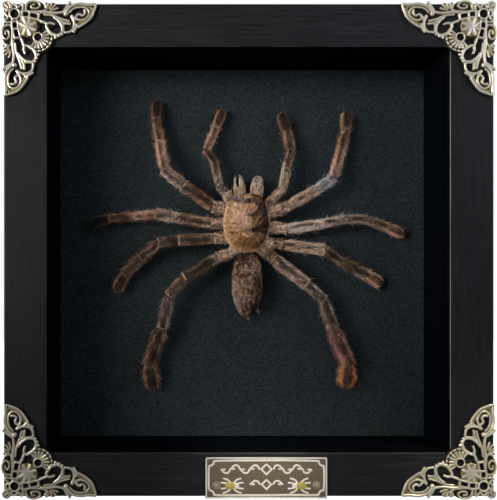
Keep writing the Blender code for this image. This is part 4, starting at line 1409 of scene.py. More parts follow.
    def blank(self) -> Object:
        """A tube along Z from 0 to 1, cut into rings that crowd towards its ends."""
        bpy.ops.mesh.primitive_cylinder_add(
            vertices=self.segment_sides, radius=1.0, depth=1.0, location=(0.0, 0.0, 0.5)
        )
        tube = settle()
        bpy.ops.object.mode_set(mode="EDIT")
        bpy.ops.mesh.select_mode(type="EDGE")
        bpy.ops.mesh.select_all(action="DESELECT")
        bpy.ops.object.mode_set(mode="OBJECT")
        for edge in tube.data.edges:
            heights = [tube.data.vertices[index].co.z for index in edge.vertices]
            edge.select = abs(heights[0] - heights[1]) > 0.5
        bpy.ops.object.mode_set(mode="EDIT")
        bpy.ops.mesh.subdivide(number_cuts=self.segment_rings)
        bpy.ops.mesh.select_mode(type="VERT")
        bpy.ops.object.mode_set(mode="OBJECT")
        points = read_points(tube.data)
        points[:, 2] = 0.5 - 0.5 * np.cos(np.pi * np.clip(points[:, 2], 0, 1))
        write_points(tube.data, points)
        return tube

    def sleeve(self, blank: Object, segment: LimbSegment, seed: float) -> Object:
        """Shapes one segment from the blank, wrinkles it and paints its vertices.

        Args:
            blank: The tube to copy.
            segment: Where it runs, how thick it is and its tone.
            seed: Moves the wrinkles from one segment to the next.

        Returns:
            The segment, with its tone, lie, lay, coat and bristle attributes.
        """
        tube = copy_of(blank)
        length = (segment.end - segment.start).length
        axis = (segment.end - segment.start).normalized()
        front, side = ahead_and_across(axis)
        is_foot = segment.part is Part.TARSUS
        shares, swells = zip(*(FOOT if is_foot else SLEEVE))
        half = segment.thickness / 2
        overlap = 0.0 if is_foot else 0.35 * half
        is_root = segment.part in (Part.COXA, Part.TROCHANTER)
        rows = []
        for x, y, t in read_points(tube.data):
            reach = math.hypot(x, y)
            across, ahead = (x / reach, y / reach) if reach > 0.5 else (0.0, 0.0)
            swell = float(np.interp(t, shares, swells))
            along = t * length
            spot = Vector((across * 1.6, ahead * 1.6, along / (2.6 * MM) + seed))
            wrinkle = 0.09 * noise.noise(spot) * (2.6 if is_root else 1.0)
            fold = 0.05 * math.sin(along / (0.55 * MM) + 2 * across) if is_root else 0.0
            crest = 0.05 * bump_at(abs(across), 0.45, 0.16) * max(0.0, ahead) - 0.06 * max(0.0, ahead) ** 6
            radius = half * swell * (1 + wrinkle + fold + crest)
            place = segment.start + axis * (t * (length + overlap) - 0.4 * overlap)
            growth = ramp(-0.9, 0.2, ahead) * 0.8 + 0.2
            rows.append(
                {
                    "place": place + (side * across + front * ahead * 0.94) * radius,
                    "tone": self.segment_tone(segment, across, ahead, t, spot),
                    "lie": (across * half * 2.2, ahead * half * 2.2, along * 0.16 + seed * MM),
                    "lay": axis,
                    "coat": growth * (0.5 if is_root else 1.0) * (0.3 if t > 0.93 else 1.0),
                    "bristle": segment.bristly * growth * (0.1 if t < 0.08 or t > 0.95 else 1.0),
                }
            )
        return shape_skin(tube, "segment", rows)

    def segment_tone(
        self, segment: LimbSegment, across: float, ahead: float, t: float, spot: Vector
    ) -> list[float]:
        """Colour of a limb at one vertex: hairless stripes, painted highlight on the flanks and shade below,
        a pale rim and a dark joint.
        """
        palette = (segment.tone, segment.before, segment.after, Tone.CREAM, Tone.SHADE)
        base, before, after, cream, shade = (tone.rgb for tone in palette)
        base = blend(base, before, 0.4 * ramp(0.3, 0.0, t))
        base = blend(base, after, 0.4 * ramp(0.65, 1.0, t))
        side, facing = abs(across), ramp(0.0, 0.5, ahead)
        # Flanks painted lighter as a highlight; the side towards the board painted darker as shade, and the
        # whole a little darker
        tone = lit(base, 0.75 * ramp(0.5, 0.85, side) - 1.1 * ramp(0.3, -0.1, ahead) - 0.1)
        if segment.part is Part.TARSUS:
            # The tarsus is painted lighter, a highlight that shows at its edges, round a darker pad down the
            # middle of its front
            sole = ramp(0.72, 0.42, side) * ramp(0.05, 0.2, t) * ramp(1.0, 0.86, t)
            tone = lit(tone, 0.5 - 1.6 * sole * facing)
            return lit(blend(tone, cream, 0.2 * ramp(0.93, 1.0, t)), 1.0 * noise.noise(spot * 1.7))
        if segment.part in (Part.FEMUR, Part.PATELLA, Part.TIBIA, Part.METATARSUS):
            patchy = ramp(-0.35, 0.3, cloud(across, 7.7, spot.z * 0.7))
            stripe = bump_at(side, 0.6, 0.16) * facing * ramp(0.02, 0.12, t) * patchy
            tone = blend(lit(tone, 0.5 * stripe), cream, 0.2 * stripe)
            drift = 0.14 + 0.22 * cloud(spot.z * 0.25, 0.4, 3.0)
            valley = bump_at(across, drift, 0.26) * facing * ramp(0.0, 0.2, t)
            tone = lit(tone, -1.7 * valley * (1.15 - patchy))
        if segment.part in (Part.COXA, Part.TROCHANTER):
            # Mottled, and painted darker towards the sides as shade between the parts
            tone = lit(tone, 1.8 * noise.noise(spot * 2.3) - 0.8 * ramp(0.5, 0.95, side))
        blot = Vector((across * 2.2, ahead * 2.2, spot.z * 0.6))
        tone = lit(tone, 1.3 * noise.noise(blot) + 1.9 * noise.noise(spot * 3.3))
        tone = blend(tone, shade, 0.8 * ramp(0.09, 0.02, t))
        worn = ramp(-0.35, 0.35, cloud(across * 1.3, ahead * 1.3, spot.z * 0.13))
        return blend(tone, cream, 0.8 * worn * bump_at(t, 0.972, 0.018))

    def limbs(self) -> list[Object]:
        """All ten limbs, joined to one piece for each side."""
        blank = self.blank()
        sides = {"left": [], "right": []}
        for index, name in enumerate(self.LIMBS):
            for step, segment in enumerate(self.limb_segments(name)):
                tube = self.sleeve(blank, segment, index * 7.3 + step * 3.1)
                sides[name.rsplit("_", 1)[1]].append(tube)
        bpy.data.objects.remove(blank, do_unlink=True)
        return [join(f"spider_limbs_{side}", tubes) for side, tubes in sides.items()]

    def ball(self, segments: int, rings: int) -> Object:
        """A ball of diameter 1 with its poles along Z."""
        bpy.ops.mesh.primitive_uv_sphere_add(segments=segments, ring_count=rings, radius=0.5)
        return settle()

    def fuller(self, z: float, blunt_front: float, blunt_back: float) -> float:
        """How much wider than a ball a blunt oval is at a height from -0.5 to 0.5."""
        along = min(1.0, abs(z) * 2)
        round_share = math.sqrt(1 - along**2)
        blunt = blunt_front if z > 0 else blunt_back
        return (1 - along**blunt) ** (1 / blunt) / round_share if round_share > 1e-6 else 1.0

    def carapace(self) -> Object:
        """The shield over the head: domed, grooved from its pit to each leg, with a pale brim."""
        shield = self.ball(240, 160)
        width, length = (value * MM for value in self.carapace_size)
        base, top = self.carapace_heights
        thick = (top - base) * MM
        centre = self.places.on_board(*self.carapace_centre, (top + base) / 2)
        pit = Vector((self.PIT[0], 0.0, self.PIT[1]))
        rows = []
        for x, y, z in read_points(shield.data):
            full = self.fuller(z, *self.carapace_blunt)
            x, y = x * full, y * full
            ahead = max(0.0, z * 2)
            x *= 1.0 - (1 - self.carapace_front_share) * ahead**1.5
            u, v, rise = x * 2, z * 2, -y * 2
            relief = self.carapace_relief(u, v) * MM * ramp(0.0, 0.2, rise) if rise > 0 else 0.0
            spread = 1 + 0.03 * bump_at(rise, 0.05, 0.16) * ramp(0.85, 0.5, v)
            away = Vector((u, 0.0, v)) - pit
            turn = math.atan2(away.z, away.x)
            rows.append(
                {
                    "place": centre + Vector((x * width * spread, y * thick - relief, z * length * spread)),
                    "tone": self.carapace_tone(u, v, rise) if rise > 0 else Tone.DARK_BROWN.rgb,
                    "lie": (math.cos(turn) * 6 * MM, math.sin(turn) * 6 * MM, away.length * 2.4 * MM),
                    "lay": away.normalized() if away.length > 1e-3 else Vector((0, 0, 1)),
                    "coat": ramp(-0.1, 0.15, rise),
                    "fringe": ramp(-0.75, -0.9, v) * bump_at(rise, 0.12, 0.14),
                }
            )
        return shape_skin(shield, "spider_carapace", rows)

    def about_pit(self, u: float, v: float) -> tuple[float, float, float]:
        """Distance of a place from the pit, its clockwise angle, and the grooves' wander, in degrees."""
        across, along = u - self.PIT[0], v - self.PIT[1]
        turn = math.degrees(math.atan2(across, along))
        return math.hypot(across, along), turn, 7 * cloud(u * 3, v * 3, 6.6)

    def carapace_relief(self, u: float, v: float) -> float:
        """How far the shield stands out, in millimetres, at a place from -1 to 1 across and along."""
        away, turn, weave = self.about_pit(u, v)
        relief = 0.0
        for groove, depth, _ in self.GROOVES:
            reach = ramp(0.05, 0.2, away) * ramp(1.1, 0.75, away)
            relief -= depth * bump_at(math.radians(turn + weave - groove) * away, 0.0, 0.035) * reach
        relief -= 0.55 * bump_at(off_route((u, v), self.FURROW), 0.0, 0.06)
        relief += 0.7 * bump_at(u, 0.1, 0.34) * bump_at(v, 0.45, 0.17)
        relief += 0.45 * bump_at(u, -0.42, 0.25) * bump_at(v, 0.8, 0.12)
        relief -= 0.9 * bump_at(u, self.PIT[0], 0.07) * bump_at(v, self.PIT[1], 0.05)
        relief += 0.95 * bump_at(u, self.EYE_MOUND[0], 0.12) * bump_at(v, self.EYE_MOUND[1], 0.085)
        relief -= 0.3 * bump_at(u, self.EYE_MOUND[0], 0.2) * bump_at(v, 0.6, 0.05)
        relief += 0.22 * cloud(u * 7, v * 7, 1.3)
        relief += 0.14 * cloud(u * 16, v * 16, 4.1)
        return relief + 0.07 * cloud(u * 34, v * 34, 2.2)

    def carapace_tone(self, u: float, v: float, rise: float) -> list[float]:
        """Colour of the shield: rosy beige on the left, olive and painted shade on the right, amber behind, a
        cream brim.
        """
        palette = "ROSY_BEIGE OCHRE GOLD AMBER HEAD_OLIVE HEAD_PURPLE ORANGE BRIM SHADE"
        beige, ochre, gold, amber, olive, purple, orange, cream, shade = (
            Tone[word].rgb for word in palette.split()
        )
        tone = blend(beige, ochre, 0.75 * ramp(-0.05, -0.5, v))
        tone = blend(tone, ochre, 0.6 * ramp(-0.55, -0.85, u))
        tone = blend(tone, amber, 0.9 * ramp(-0.4, -0.6, v) * ramp(-0.75, -0.25, u))
        edge = self.PIT[0] + 0.03 + 0.32 * bump_at(v, 0.46, 0.17)
        torn = u + 0.09 * cloud(u * 6, v * 14, 9.9)
        right = ramp(edge - 0.05, edge + 0.12, torn) * ramp(-0.6, -0.35, v)
        tone = blend(tone, orange, 0.5 * ramp(0.84, 0.96, v))
        tone = blend(tone, orange, 0.55 * bump_at(u, 0.1, 0.33) * bump_at(v, 0.45, 0.17))
        # Dark olive over the right part is partly its colour and partly painted shade; the far right gets
        # painted shade
        tone = blend(tone, olive, 0.95 * right)
        tone = blend(tone, shade, 0.5 * ramp(0.45, 0.85, u))
        tone = blend(tone, amber, 0.35 * bump_at(u, 0.5, 0.3) * bump_at(v, 0.8, 0.15))
        patch = bump_at(u, -0.42, 0.25) * bump_at(v, 0.79, 0.15)
        tone = blend(tone, purple, 0.95 * min(1.0, 1.4 * patch))
        tone = lit(tone, -1.4 * patch * ramp(0.0, 0.3, cloud(u * 9, v * 9, 3.3)))
        away, turn, weave = self.about_pit(u, v)
        # Darker lines along the grooves: partly the cuticle's colour, partly painted shade
        for groove, _, darker in self.GROOVES:
            line = bump_at(math.radians(turn + weave - groove) * away, 0.0, 0.028)
            tone = lit(tone, -darker * line * ramp(0.03, 0.15, away) * ramp(1.15, 0.8, away))
        for streak in self.PALE_STREAKS:
            line = bump_at(math.radians(turn + weave - streak) * away, 0.0, 0.022)
            tone = blend(tone, gold, 0.6 * line * ramp(0.1, 0.25, away) * ramp(0.85, 0.5, away))
        rays = Vector((math.cos(math.radians(turn)) * 16, math.sin(math.radians(turn)) * 16, away * 2))
        strength = 0.75 if u > 0 or v < -0.35 else 0.25
        tone = lit(tone, strength * noise.noise(rays) * ramp(0.1, 0.4, away))
        # Painted shade in the furrow and in the pit
        furrow = off_route((u, v), self.FURROW) + 0.04 * cloud(u * 11, v * 11, 4.4)
        tone = blend(tone, shade, 0.95 * bump_at(furrow, 0.0, 0.045))
        tone = blend(tone, shade, 0.9 * bump_at(u, self.PIT[0], 0.06) * bump_at(v, self.PIT[1], 0.06))
        mound = math.hypot((u - self.EYE_MOUND[0]) / 0.17, (v - self.EYE_MOUND[1]) / 0.1)
        mound += 0.6 * cloud(u * 13, v * 13, 0.7)
        tone = blend(tone, shade, 0.95 * ramp(1.15, 0.7, mound))
        # A painted glint on the eye mound
        painted_glint = math.hypot(u - self.EYE_MOUND[0] + 0.05, (v - self.EYE_MOUND[1] - 0.01) * 1.6)
        tone = blend(tone, beige, 0.7 * ramp(0.075, 0.03, painted_glint))
        fork = off_route((u, v), self.PALE_V)
        tone = blend(tone, amber, 0.7 * bump_at(u, 0.02, 0.12) * bump_at(v, -0.43, 0.035))
        tone = blend(tone, lit(cream, 0.3), 0.95 * bump_at(fork, 0.0, 0.026))
        tone = lit(tone, 0.5 * cloud(u * 9, v * 9, 8.8))
        tone = lit(tone, (0.6 + 0.35 * right) * cloud(u * 24, v * 24, 5.5))
        lighter = 0.9 * ramp(-0.8, -0.96, v) + 0.15 * bump_at(u, -0.25, 0.3) * bump_at(v, 0.15, 0.3)
        tone = lit(tone, lighter)
        frayed = 0.08 * cloud(u * 12, v * 12, 7.7)
        rim = ramp(0.34 + frayed, 0.24 + frayed, rise) * ramp(0.75, 0.5, v)
        # Painted shade on the right of the dome's slope, just inside the brim
        tone = blend(tone, shade, 0.6 * bump_at(rise, 0.42, 0.09) * ramp(-0.2, 0.5, u))
        worn = 0.75 + 0.5 * cloud(u * 5, v * 5, 1.9)
        return blend(tone, cream, worn * (0.95 if u < 0 else 0.85) * rim)

    def abdomen(self) -> Object:
        """The hind body: a long soft oval, slumped and wrinkled as it dried."""
        sack = self.ball(96, 84)
        width, length, thick = (value * MM for value in self.abdomen_size)
        centre = self.places.on_board(*self.abdomen_centre, self.abdomen_size[2] / 2 + self.abdomen_clear)
        palette = (Tone.ROSY_TAN, Tone.DARK_BROWN, Tone.REDDISH, Tone.PALE_TAN, Tone.OLIVE)
        pale, dark, red, grey, olive = (tone.rgb for tone in palette)
        rows = []
        for x, y, z in read_points(sack.data):
            full = self.fuller(z, *self.abdomen_blunt)
            behind = max(0.0, -z * 2)
            x = x * full * (1.0 - (1 - self.abdomen_back_share) * behind**2)
            y = y * full
            spread = 1 + 0.06 * cloud(x * 5, y * 5, z * 7)
            place = centre + Vector((x * width * spread, y * thick * spread, z * length))
            place.y += self.abdomen_tilt * MM * behind**2
            u, v = x * 2, z * 2
            tone = blend(pale, grey, 0.3 * ramp(-0.2, 0.4, cloud(x * 6, y * 6, z * 9)))
            blotch = 0.45 + 0.5 * ramp(-0.15, 0.2, cloud(x * 8, 2.0, z * 10))
            tone = blend(tone, red, blotch * ramp(0.0, 0.4, v) * ramp(0.35, 0.0, u))
            tone = blend(tone, red, 0.8 * bump_at(u, 0.45, 0.5) * ramp(-0.5, -0.75, v))
            # Olive towards the right: partly the fur's colour and partly painted shade
            tone = blend(tone, olive, 0.4 * ramp(0.25, 0.8, u))
            tone = blend(tone, dark, 0.85 * ramp(0.82, 0.95, v))
            # Painted shade on the right, towards the rear and at the front left; painted highlight on the
            # left flank and near the front middle
            shadow = 1.3 * ramp(0.05, 0.6, u) * ramp(0.5, 0.1, v) - 0.1
            shadow += 1.1 * ramp(-0.35, -0.65, v) * ramp(-0.7, -0.1, u)
            sheen = 0.4 * bump_at(u, 0.05, 0.3) * bump_at(v, 0.5, 0.25)
            sheen += 0.85 * ramp(-0.1, -0.6, u) * ramp(0.4, 0.1, v) + 0.1
            shadow += 0.35 * ramp(0.3, 0.6, v) * ramp(0.0, -0.4, u)
            tone = lit(tone, sheen - shadow)
            tone = lit(tone, 1.5 * cloud(x * 10, y * 10, z * 10))
            tone = lit(tone, 2.4 * cloud(x * 30, y * 30, z * 30))
            rows.append(
                {
                    "place": place,
                    "tone": tone,
                    "lay": (0.25 * x, 0.0, -1.0),
                    "lie": (x * width * 1.6, y * thick * 1.6, z * length * 0.25),
                    "coat": 0.3 + 0.7 * ramp(-0.4, 0.3, -y * 2),
                }
            )
        return shape_skin(sack, "spider_abdomen", rows)

    def chelicera(self, side: str) -> Object:
        """One jaw: a blunt furred finger, the left one split where its fang lies, with painted shade in the
        slit.
        """
        base, tip, half, is_split = self.CHELICERAE[side]
        start, end = self.places.on_board(*base, 6.9), self.places.on_board(*tip, 5.4)
        axis = (end - start).normalized()
        front, across_way = ahead_and_across(axis)
        jaw = self.ball(96, 72)
        length = (end - start).length
        palette = (Tone.PALE_PINK, Tone.PALE_TAN, Tone.ORANGE, Tone.BROWN, Tone.SHADE, Tone.CREAM)
        pink, tan, orange, brown, shade, cream = (tone.rgb for tone in palette)
        rows = []
        for x, y, z in read_points(jaw.data):
            full = self.fuller(z, 3.2, 4.0)
            x, y = x * full * 2, y * full * 2
            t = z + 0.5
            narrow = 1 - 0.16 * ramp(0.5, 1.0, t)
            slit = 0.0
            if is_split:
                slit = ramp(0.46, 0.28, abs(x - 0.1)) * ramp(0.55, 0.64, t)
                slit *= ramp(-0.1, 0.2, -y)
            dent = 1 + 0.09 * cloud(x * 2, y * 2, z * 6)
            place = start.lerp(end, t) + across_way * (x * half * MM * narrow * dent)
            place = place + front * (-y * half * MM * narrow * dent - slit * 3.2 * MM)
            grain = cloud(x * 3, y * 3, z * 7)
            tone = blend(cream, pink, 0.15 + 0.4 * ramp(-0.4, 0.4, grain))
            tone = blend(tone, tan, 0.4 * ramp(0.72, 0.5, t))
            tone = blend(tone, orange, 0.25 * ramp(0.6, 0.42, t))
            tone = lit(tone, (0.85 if side == "left" else 0.05) + 0.45 * ramp(-0.3, -0.8, x))
            tone = lit(tone, 0.45 * ramp(0.6, 0.45, t))
            if side == "right":
                tone = blend(tone, brown, 0.45 * ramp(0.0, 0.7, x) * ramp(0.98, 0.9, x))
                spots = bump_at(x, 0.4, 0.2) * (bump_at(t, 0.87, 0.045) + 0.8 * bump_at(t, 0.74, 0.05))
                tone = blend(tone, shade, min(0.95, 1.3 * spots))
            tone = lit(tone, 1.9 * cloud(x * 4, y * 4, z * 7))
            tone = lit(tone, 2.8 * cloud(x * 9, y * 9, z * 16))
            # Painted shade in the slit
            tone = blend(tone, shade, 0.97 * ramp(0.15, 0.5, slit))
            rows.append(
                {
                    "place": place,
                    "tone": tone,
                    "lay": axis,
                    "lie": (x * half * MM * 2, y * half * MM * 2, t * length * 0.2),
                    "coat": (1.0 - ramp(0.05, 0.2, slit)) * ramp(0.5, 0.0, y),
                }
            )
        return shape_skin(jaw, f"spider_chelicera_{side}", rows)

    def plain_form(
        self, name: str, start: Vector, end: Vector, half: float, tone: Tone
    ) -> Object:
        """A stretched ball between two points, painted in one tone with a darker tip."""
        form = self.ball(32, 20)
        axis = (end - start).normalized()
        turn = axis.to_track_quat("Z", "Y").to_matrix()
        length = (end - start).length
        rows = []
        for x, y, z in read_points(form.data):
            rows.append(
                {
                    "place": (start + end) / 2 + turn @ Vector((x * 2 * half, y * 2 * half, z * length)),
                    "tone": blend(tone.rgb, Tone.SHADE.rgb, 0.5 * ramp(0.2, 0.5, z)),
                    "lay": axis,
                    "lie": (x * half * 3, y * half * 3, z * length * 0.3),
                    "coat": 1.0,
                }
            )
        return shape_skin(form, name, rows)

    def underside(self) -> list[Object]:
        """The sternum that the legs grow from, the waist and the spinnerets."""
        at, brown, pink = self.places.on_board, Tone.DARK_BROWN, Tone.GREY_PINK
        sternum = self.plain_form("sternum", at(1.7, 3.6, 4.2), at(1.7, 21.8, 4.2), 6.4 * MM, brown)
        points = read_points(sternum.data)
        middle_y = self.places.board_y - 4.2 * MM
        points[:, 1] = middle_y + (points[:, 1] - middle_y) * 0.44
        write_points(sternum.data, points)
        return [
            sternum, self.plain_form("waist", at(1.6, 4.0, 6.2), at(1.7, -4.0, 6.2), 2.6 * MM, brown),
            self.plain_form("spinneret_long", at(1.6, -25.6, 5.2), at(2.7, -30.3, 4.4), 0.9 * MM, pink),
            self.plain_form("spinneret_short", at(5.0, -24.6, 5.2), at(7.1, -27.2, 4.6), 0.8 * MM, pink),
        ]

    def eyes(self) -> Object:
        """Eight eyes on the mound at the front of the shield, the middle pair the largest."""
        middle = self.carapace_centre[0] + self.EYE_MOUND[0] * self.carapace_size[0] / 2
        height = self.carapace_centre[1] + self.EYE_MOUND[1] * self.carapace_size[1] / 2
        made = []
        for aside, above, front, radius in (
            (0.42, 0.1, 12.95, 0.36), (1.05, 0.35, 12.6, 0.28), (0.95, -0.42, 12.6, 0.24),
            (0.38, -0.55, 12.8, 0.22),
        ):
            for side in (-1, 1):
                centre = self.places.on_board(middle + side * aside, height + above, front)
                bpy.ops.mesh.primitive_uv_sphere_add(
                    segments=14, ring_count=10, radius=radius * MM, location=centre
                )
                made.append(settle())
        return smooth(join("spider_eyes", made), 80)

    def fang(self) -> Object:
        """The left fang, slim and glossy, lying in its slit, coloured pale as a painted glint."""
        start, end = self.places.on_board(-1.5, 28.8, 6.6), self.places.on_board(-1.7, 33.0, 6.6)
        bpy.ops.mesh.primitive_cone_add(
            vertices=20, radius1=0.62 * MM, radius2=0.4 * MM, depth=(end - start).length,
            location=(start + end) / 2, rotation=(end - start).to_track_quat("Z", "Y").to_euler(),
        )
        cone = active()
        add_modifier(cone, "BEVEL", width=0.18 * MM, segments=3, limit_method="ANGLE")
        settle(cone)
        cone.name = cone.data.name = "spider_fang"
        return smooth(cone, 80)


@dataclass
class Coat:
    """Hairs on a surface: thin closed spines that lie the way the surface's lay attribute points."""

    name: str
    count: int
    length: tuple[float, float]
    width: float
    lean: tuple[float, float]
    seed: int
    growth: str = "coat"
    lightness: tuple[float, float] = (0.7, 1.3)
    tip_pale: float = 0.12
    bent: bool = True
    sink: float = 0.06 * MM
    tuft: float = 0.5 * MM
    tuft_stretch: float = 4.0
    tuft_contrast: float = 0.9
    tuft_swirl: float = 0.45

    def roots(self, surface: Object, chance: np.random.Generator) -> dict[str, np.ndarray]:
        """Picks places on a surface, more where it is larger and where more hair grows.

        Args:
            surface: A mesh with lay, tone and growth attributes.
            chance: The coat's own random numbers.

        Returns:
            Rows of place, normal, lay and tone.
        """
        mesh = surface.data
        mesh.calc_loop_triangles()
        corners = np.empty(len(mesh.loop_triangles) * 3, dtype=np.int64)
        mesh.loop_triangles.foreach_get("vertices", corners)
        corners = corners.reshape(-1, 3)
        points = read_points(mesh)
        normals = np.empty(points.size)
        mesh.vertex_normals.foreach_get("vector", normals)
        normals = normals.reshape(-1, 3)
        a, b, c = (points[corners[:, i]] for i in range(3))
        area = np.linalg.norm(np.cross(b - a, c - a), axis=1)
        growth = read_attribute(mesh, self.growth)[:, 0]
        weight = area * growth[corners].mean(axis=1)
        chosen = chance.choice(len(corners), size=self.count, p=weight / weight.sum())
        first, second = chance.random((2, self.count))
        over = first + second > 1
        first[over], second[over] = 1 - first[over], 1 - second[over]
        shares = np.stack([1 - first - second, first, second], axis=1)[:, :, None]
        picked = corners[chosen]
        sources = {
            "place": points,
            "normal": normals,
            "lay": read_attribute(mesh, "lay"),
            "tone": read_attribute(mesh, "tone")[:, :3],
        }
        return {key: (values[picked] * shares).sum(axis=1) for key, values in sources.items()}

    def grow(self, surface: Object) -> Object:
        """Builds the hairs as one mesh.

        Args:
            surface: The skin that they grow on.

        Returns:
            A mesh of closed three-sided spines, each with its own tone.
        """
        chance = np.random.default_rng(self.seed)
        root = self.roots(surface, chance)
        count = self.count

        def unit(rows: np.ndarray) -> np.ndarray:
            """Gives every row a length of 1."""
            return rows / np.maximum(np.linalg.norm(rows, axis=1, keepdims=True), 1e-9)

        normal = unit(root["normal"])
        flow = unit(root["lay"])
        along = (root["place"] * flow).sum(axis=1, keepdims=True) * flow
        cells = (root["place"] - along * (1 - 1 / self.tuft_stretch)) / self.tuft
        tuft_tone = np.array([noise.noise(cell) for cell in cells])
        swirl = np.array([noise.noise_vector(cell * 0.6) for cell in cells])
        lay = flow + swirl * self.tuft_swirl + chance.normal(0.0, 0.12, (count, 3))
        lay = unit(lay - normal * (lay * normal).sum(axis=1, keepdims=True))
        lean = np.radians(chance.uniform(*self.lean, count))[:, None]
        way = unit(lay * np.cos(lean) + normal * np.sin(lean))
        far_way = unit(way * 0.75 + lay * 0.45)
        length = chance.uniform(*self.length, count)[:, None]
        across = unit(np.cross(way, normal))
        up = np.cross(across, way)
        start = root["place"] - normal * self.sink
        half = self.width / 2
        near = [start + across * half, start - across * half, start + up * half * 1.5]
        if self.bent:
            middle = start + way * length * 0.5
            thin = half * 0.75
            ring_two = [middle + across * thin, middle - across * thin, middle + up * thin * 1.4]
            tip = middle + far_way * length * 0.5
            rows = np.stack([*near, *ring_two, tip], axis=1)
            faces = [(0, 2, 1)]
            faces += [(0, 1, 4), (0, 4, 3), (1, 2, 5), (1, 5, 4), (2, 0, 3), (2, 3, 5)]
            faces += [(3, 4, 6), (4, 5, 6), (5, 3, 6)]
        else:
            tip = start + way * length
            rows = np.stack([*near, tip], axis=1)
            faces = [(0, 2, 1), (0, 1, 3), (1, 2, 3), (2, 0, 3)]
        each = rows.shape[1]
        triangles = (np.array(faces)[None] + (np.arange(count) * each)[:, None, None]).reshape(-1, 3)
        mesh = bpy.data.meshes.new(self.name)
        mesh.vertices.add(count * each)
        mesh.vertices.foreach_set("co", rows.ravel())
        mesh.loops.add(triangles.size)
        mesh.loops.foreach_set("vertex_index", triangles.ravel())
        mesh.polygons.add(len(triangles))
        mesh.polygons.foreach_set("loop_start", np.arange(0, triangles.size, 3))
        mesh.update(calc_edges=True)
        light = chance.uniform(*self.lightness, count) * np.exp(tuft_tone * self.tuft_contrast * 2)
        tone = np.repeat((root["tone"][:, None] * light[:, None, None]), each, axis=1)
        tone[:, -1] += (np.array(Tone.CREAM.rgb) - tone[:, -1]) * self.tip_pale
        tone[:, :3] *= 0.7
        colours = np.concatenate([tone, np.ones((count, each, 1))], axis=2)
        write_attribute(mesh, "tone", np.clip(colours, 0.0, 1.0).reshape(-1, 4))
        return new_object(self.name, mesh)


@dataclass
class Tarantula:
    """The whole dried spider: its skin pieces, its hair, its eyes and the pin that holds it."""

    places: Places

    def build(self) -> None:
        """Builds and hands over every piece."""
        body = SpiderBody(self.places)
        left, right = body.limbs()
        shield, sack = body.carapace(), body.abdomen()
        jaws = {side: body.chelicera(side) for side in body.CHELICERAE}
        under = join("spider_underside", body.underside())
        for piece in (left, right, shield, sack, *jaws.values(), under):
            hand_over(smooth(piece, 70), CUTICLE, "tarantula")
        hand_over(body.eyes(), EYE)
        hand_over(body.fang(), FANG)
        self.hair({"left": left, "right": right}, shield, sack, jaws)
        self.pin()

    def hair(
        self,
        limbs: dict[str, Object],
        shield: Object,
        sack: Object,
        jaws: dict[str, Object],
    ) -> None:
        """Grows a short coat and long bristles on the limbs, and fur on the body.

        Args:
            limbs: The limbs of each side.
            shield: The carapace.
            sack: The abdomen.
            jaws: The chelicera of each side.
        """
        coats = []
        for seed, (side, limb) in enumerate(limbs.items()):
            short = Coat(
                f"spider_coat_{side}", 48000, (0.5 * MM, 1.15 * MM), 0.085 * MM, (6, 26), 11 + seed,
                bent=False, tuft=0.34 * MM, tuft_stretch=5.0, tuft_contrast=1.1, tuft_swirl=0.35,
            )
            long = Coat(
                f"spider_bristles_{side}", 3400, (1.5 * MM, 3.6 * MM), 0.12 * MM, (20, 52), 21 + seed,
                growth="bristle", tip_pale=0.35, sink=0.1 * MM,
            )
            coats += [short.grow(limb), long.grow(limb)]
        fur = Coat(
            "spider_abdomen_fur", 19500, (0.8 * MM, 1.7 * MM), 0.1 * MM, (14, 44), 31,
            lightness=(0.25, 1.75), tip_pale=0.12, tuft=0.36 * MM, tuft_stretch=2.2, tuft_contrast=1.5,
            tuft_swirl=0.45,
        )
        down = Coat(
            "spider_carapace_down", 9000, (0.4 * MM, 0.9 * MM), 0.06 * MM, (5, 18), 41, bent=False,
            lightness=(0.85, 1.15), tip_pale=0.0, tuft=0.4 * MM, tuft_stretch=5.0, tuft_contrast=0.3,
            tuft_swirl=0.2,
        )
        fringe = Coat(
            "spider_carapace_fringe", 900, (0.9 * MM, 2.1 * MM), 0.1 * MM, (-10, 25), 61, growth="fringe",
            tip_pale=0.3,
        )
        coats += [fur.grow(sack), down.grow(shield), fringe.grow(shield)]
        for seed, (side, jaw) in enumerate(jaws.items()):
            nap = Coat(
                f"spider_jaw_hair_{side}", 3000, (0.5 * MM, 1.1 * MM), 0.07 * MM, (8, 24), 51 + seed,
                tuft_contrast=0.5,
            )
            coats.append(nap.grow(jaw))
        for coat in coats:
            hand_over(coat, HAIR)

    def pin(self) -> None:
        """A steel insect pin: a round head on a thin shaft that tapers to its point."""
        low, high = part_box("insect_pin")
        x, z = (low.x + high.x) / 2, (low.z + high.z) / 2
        radius = (high.x - low.x) / 2
        bpy.ops.mesh.primitive_uv_sphere_add(
            segments=24, ring_count=16, radius=radius, location=(x, low.y + radius, z)
        )
        head = settle()
        bpy.ops.mesh.primitive_cylinder_add(
            vertices=16, radius=0.25 * MM, depth=high.y - low.y - radius,
            location=(x, (high.y + low.y + radius) / 2, z), rotation=(math.radians(90), 0.0, 0.0),
        )
        shaft = settle()
        points = read_points(shaft.data)
        at_tip = points[:, 1] > high.y - 0.1 * MM
        points[at_tip, 0] = x + (points[at_tip, 0] - x) * 0.1
        points[at_tip, 2] = z + (points[at_tip, 2] - z) * 0.1
        write_points(shaft.data, points)
        hand_over(smooth(join("steel_pin", [head, shaft])), PIN_STEEL, "insect_pin")


# The box


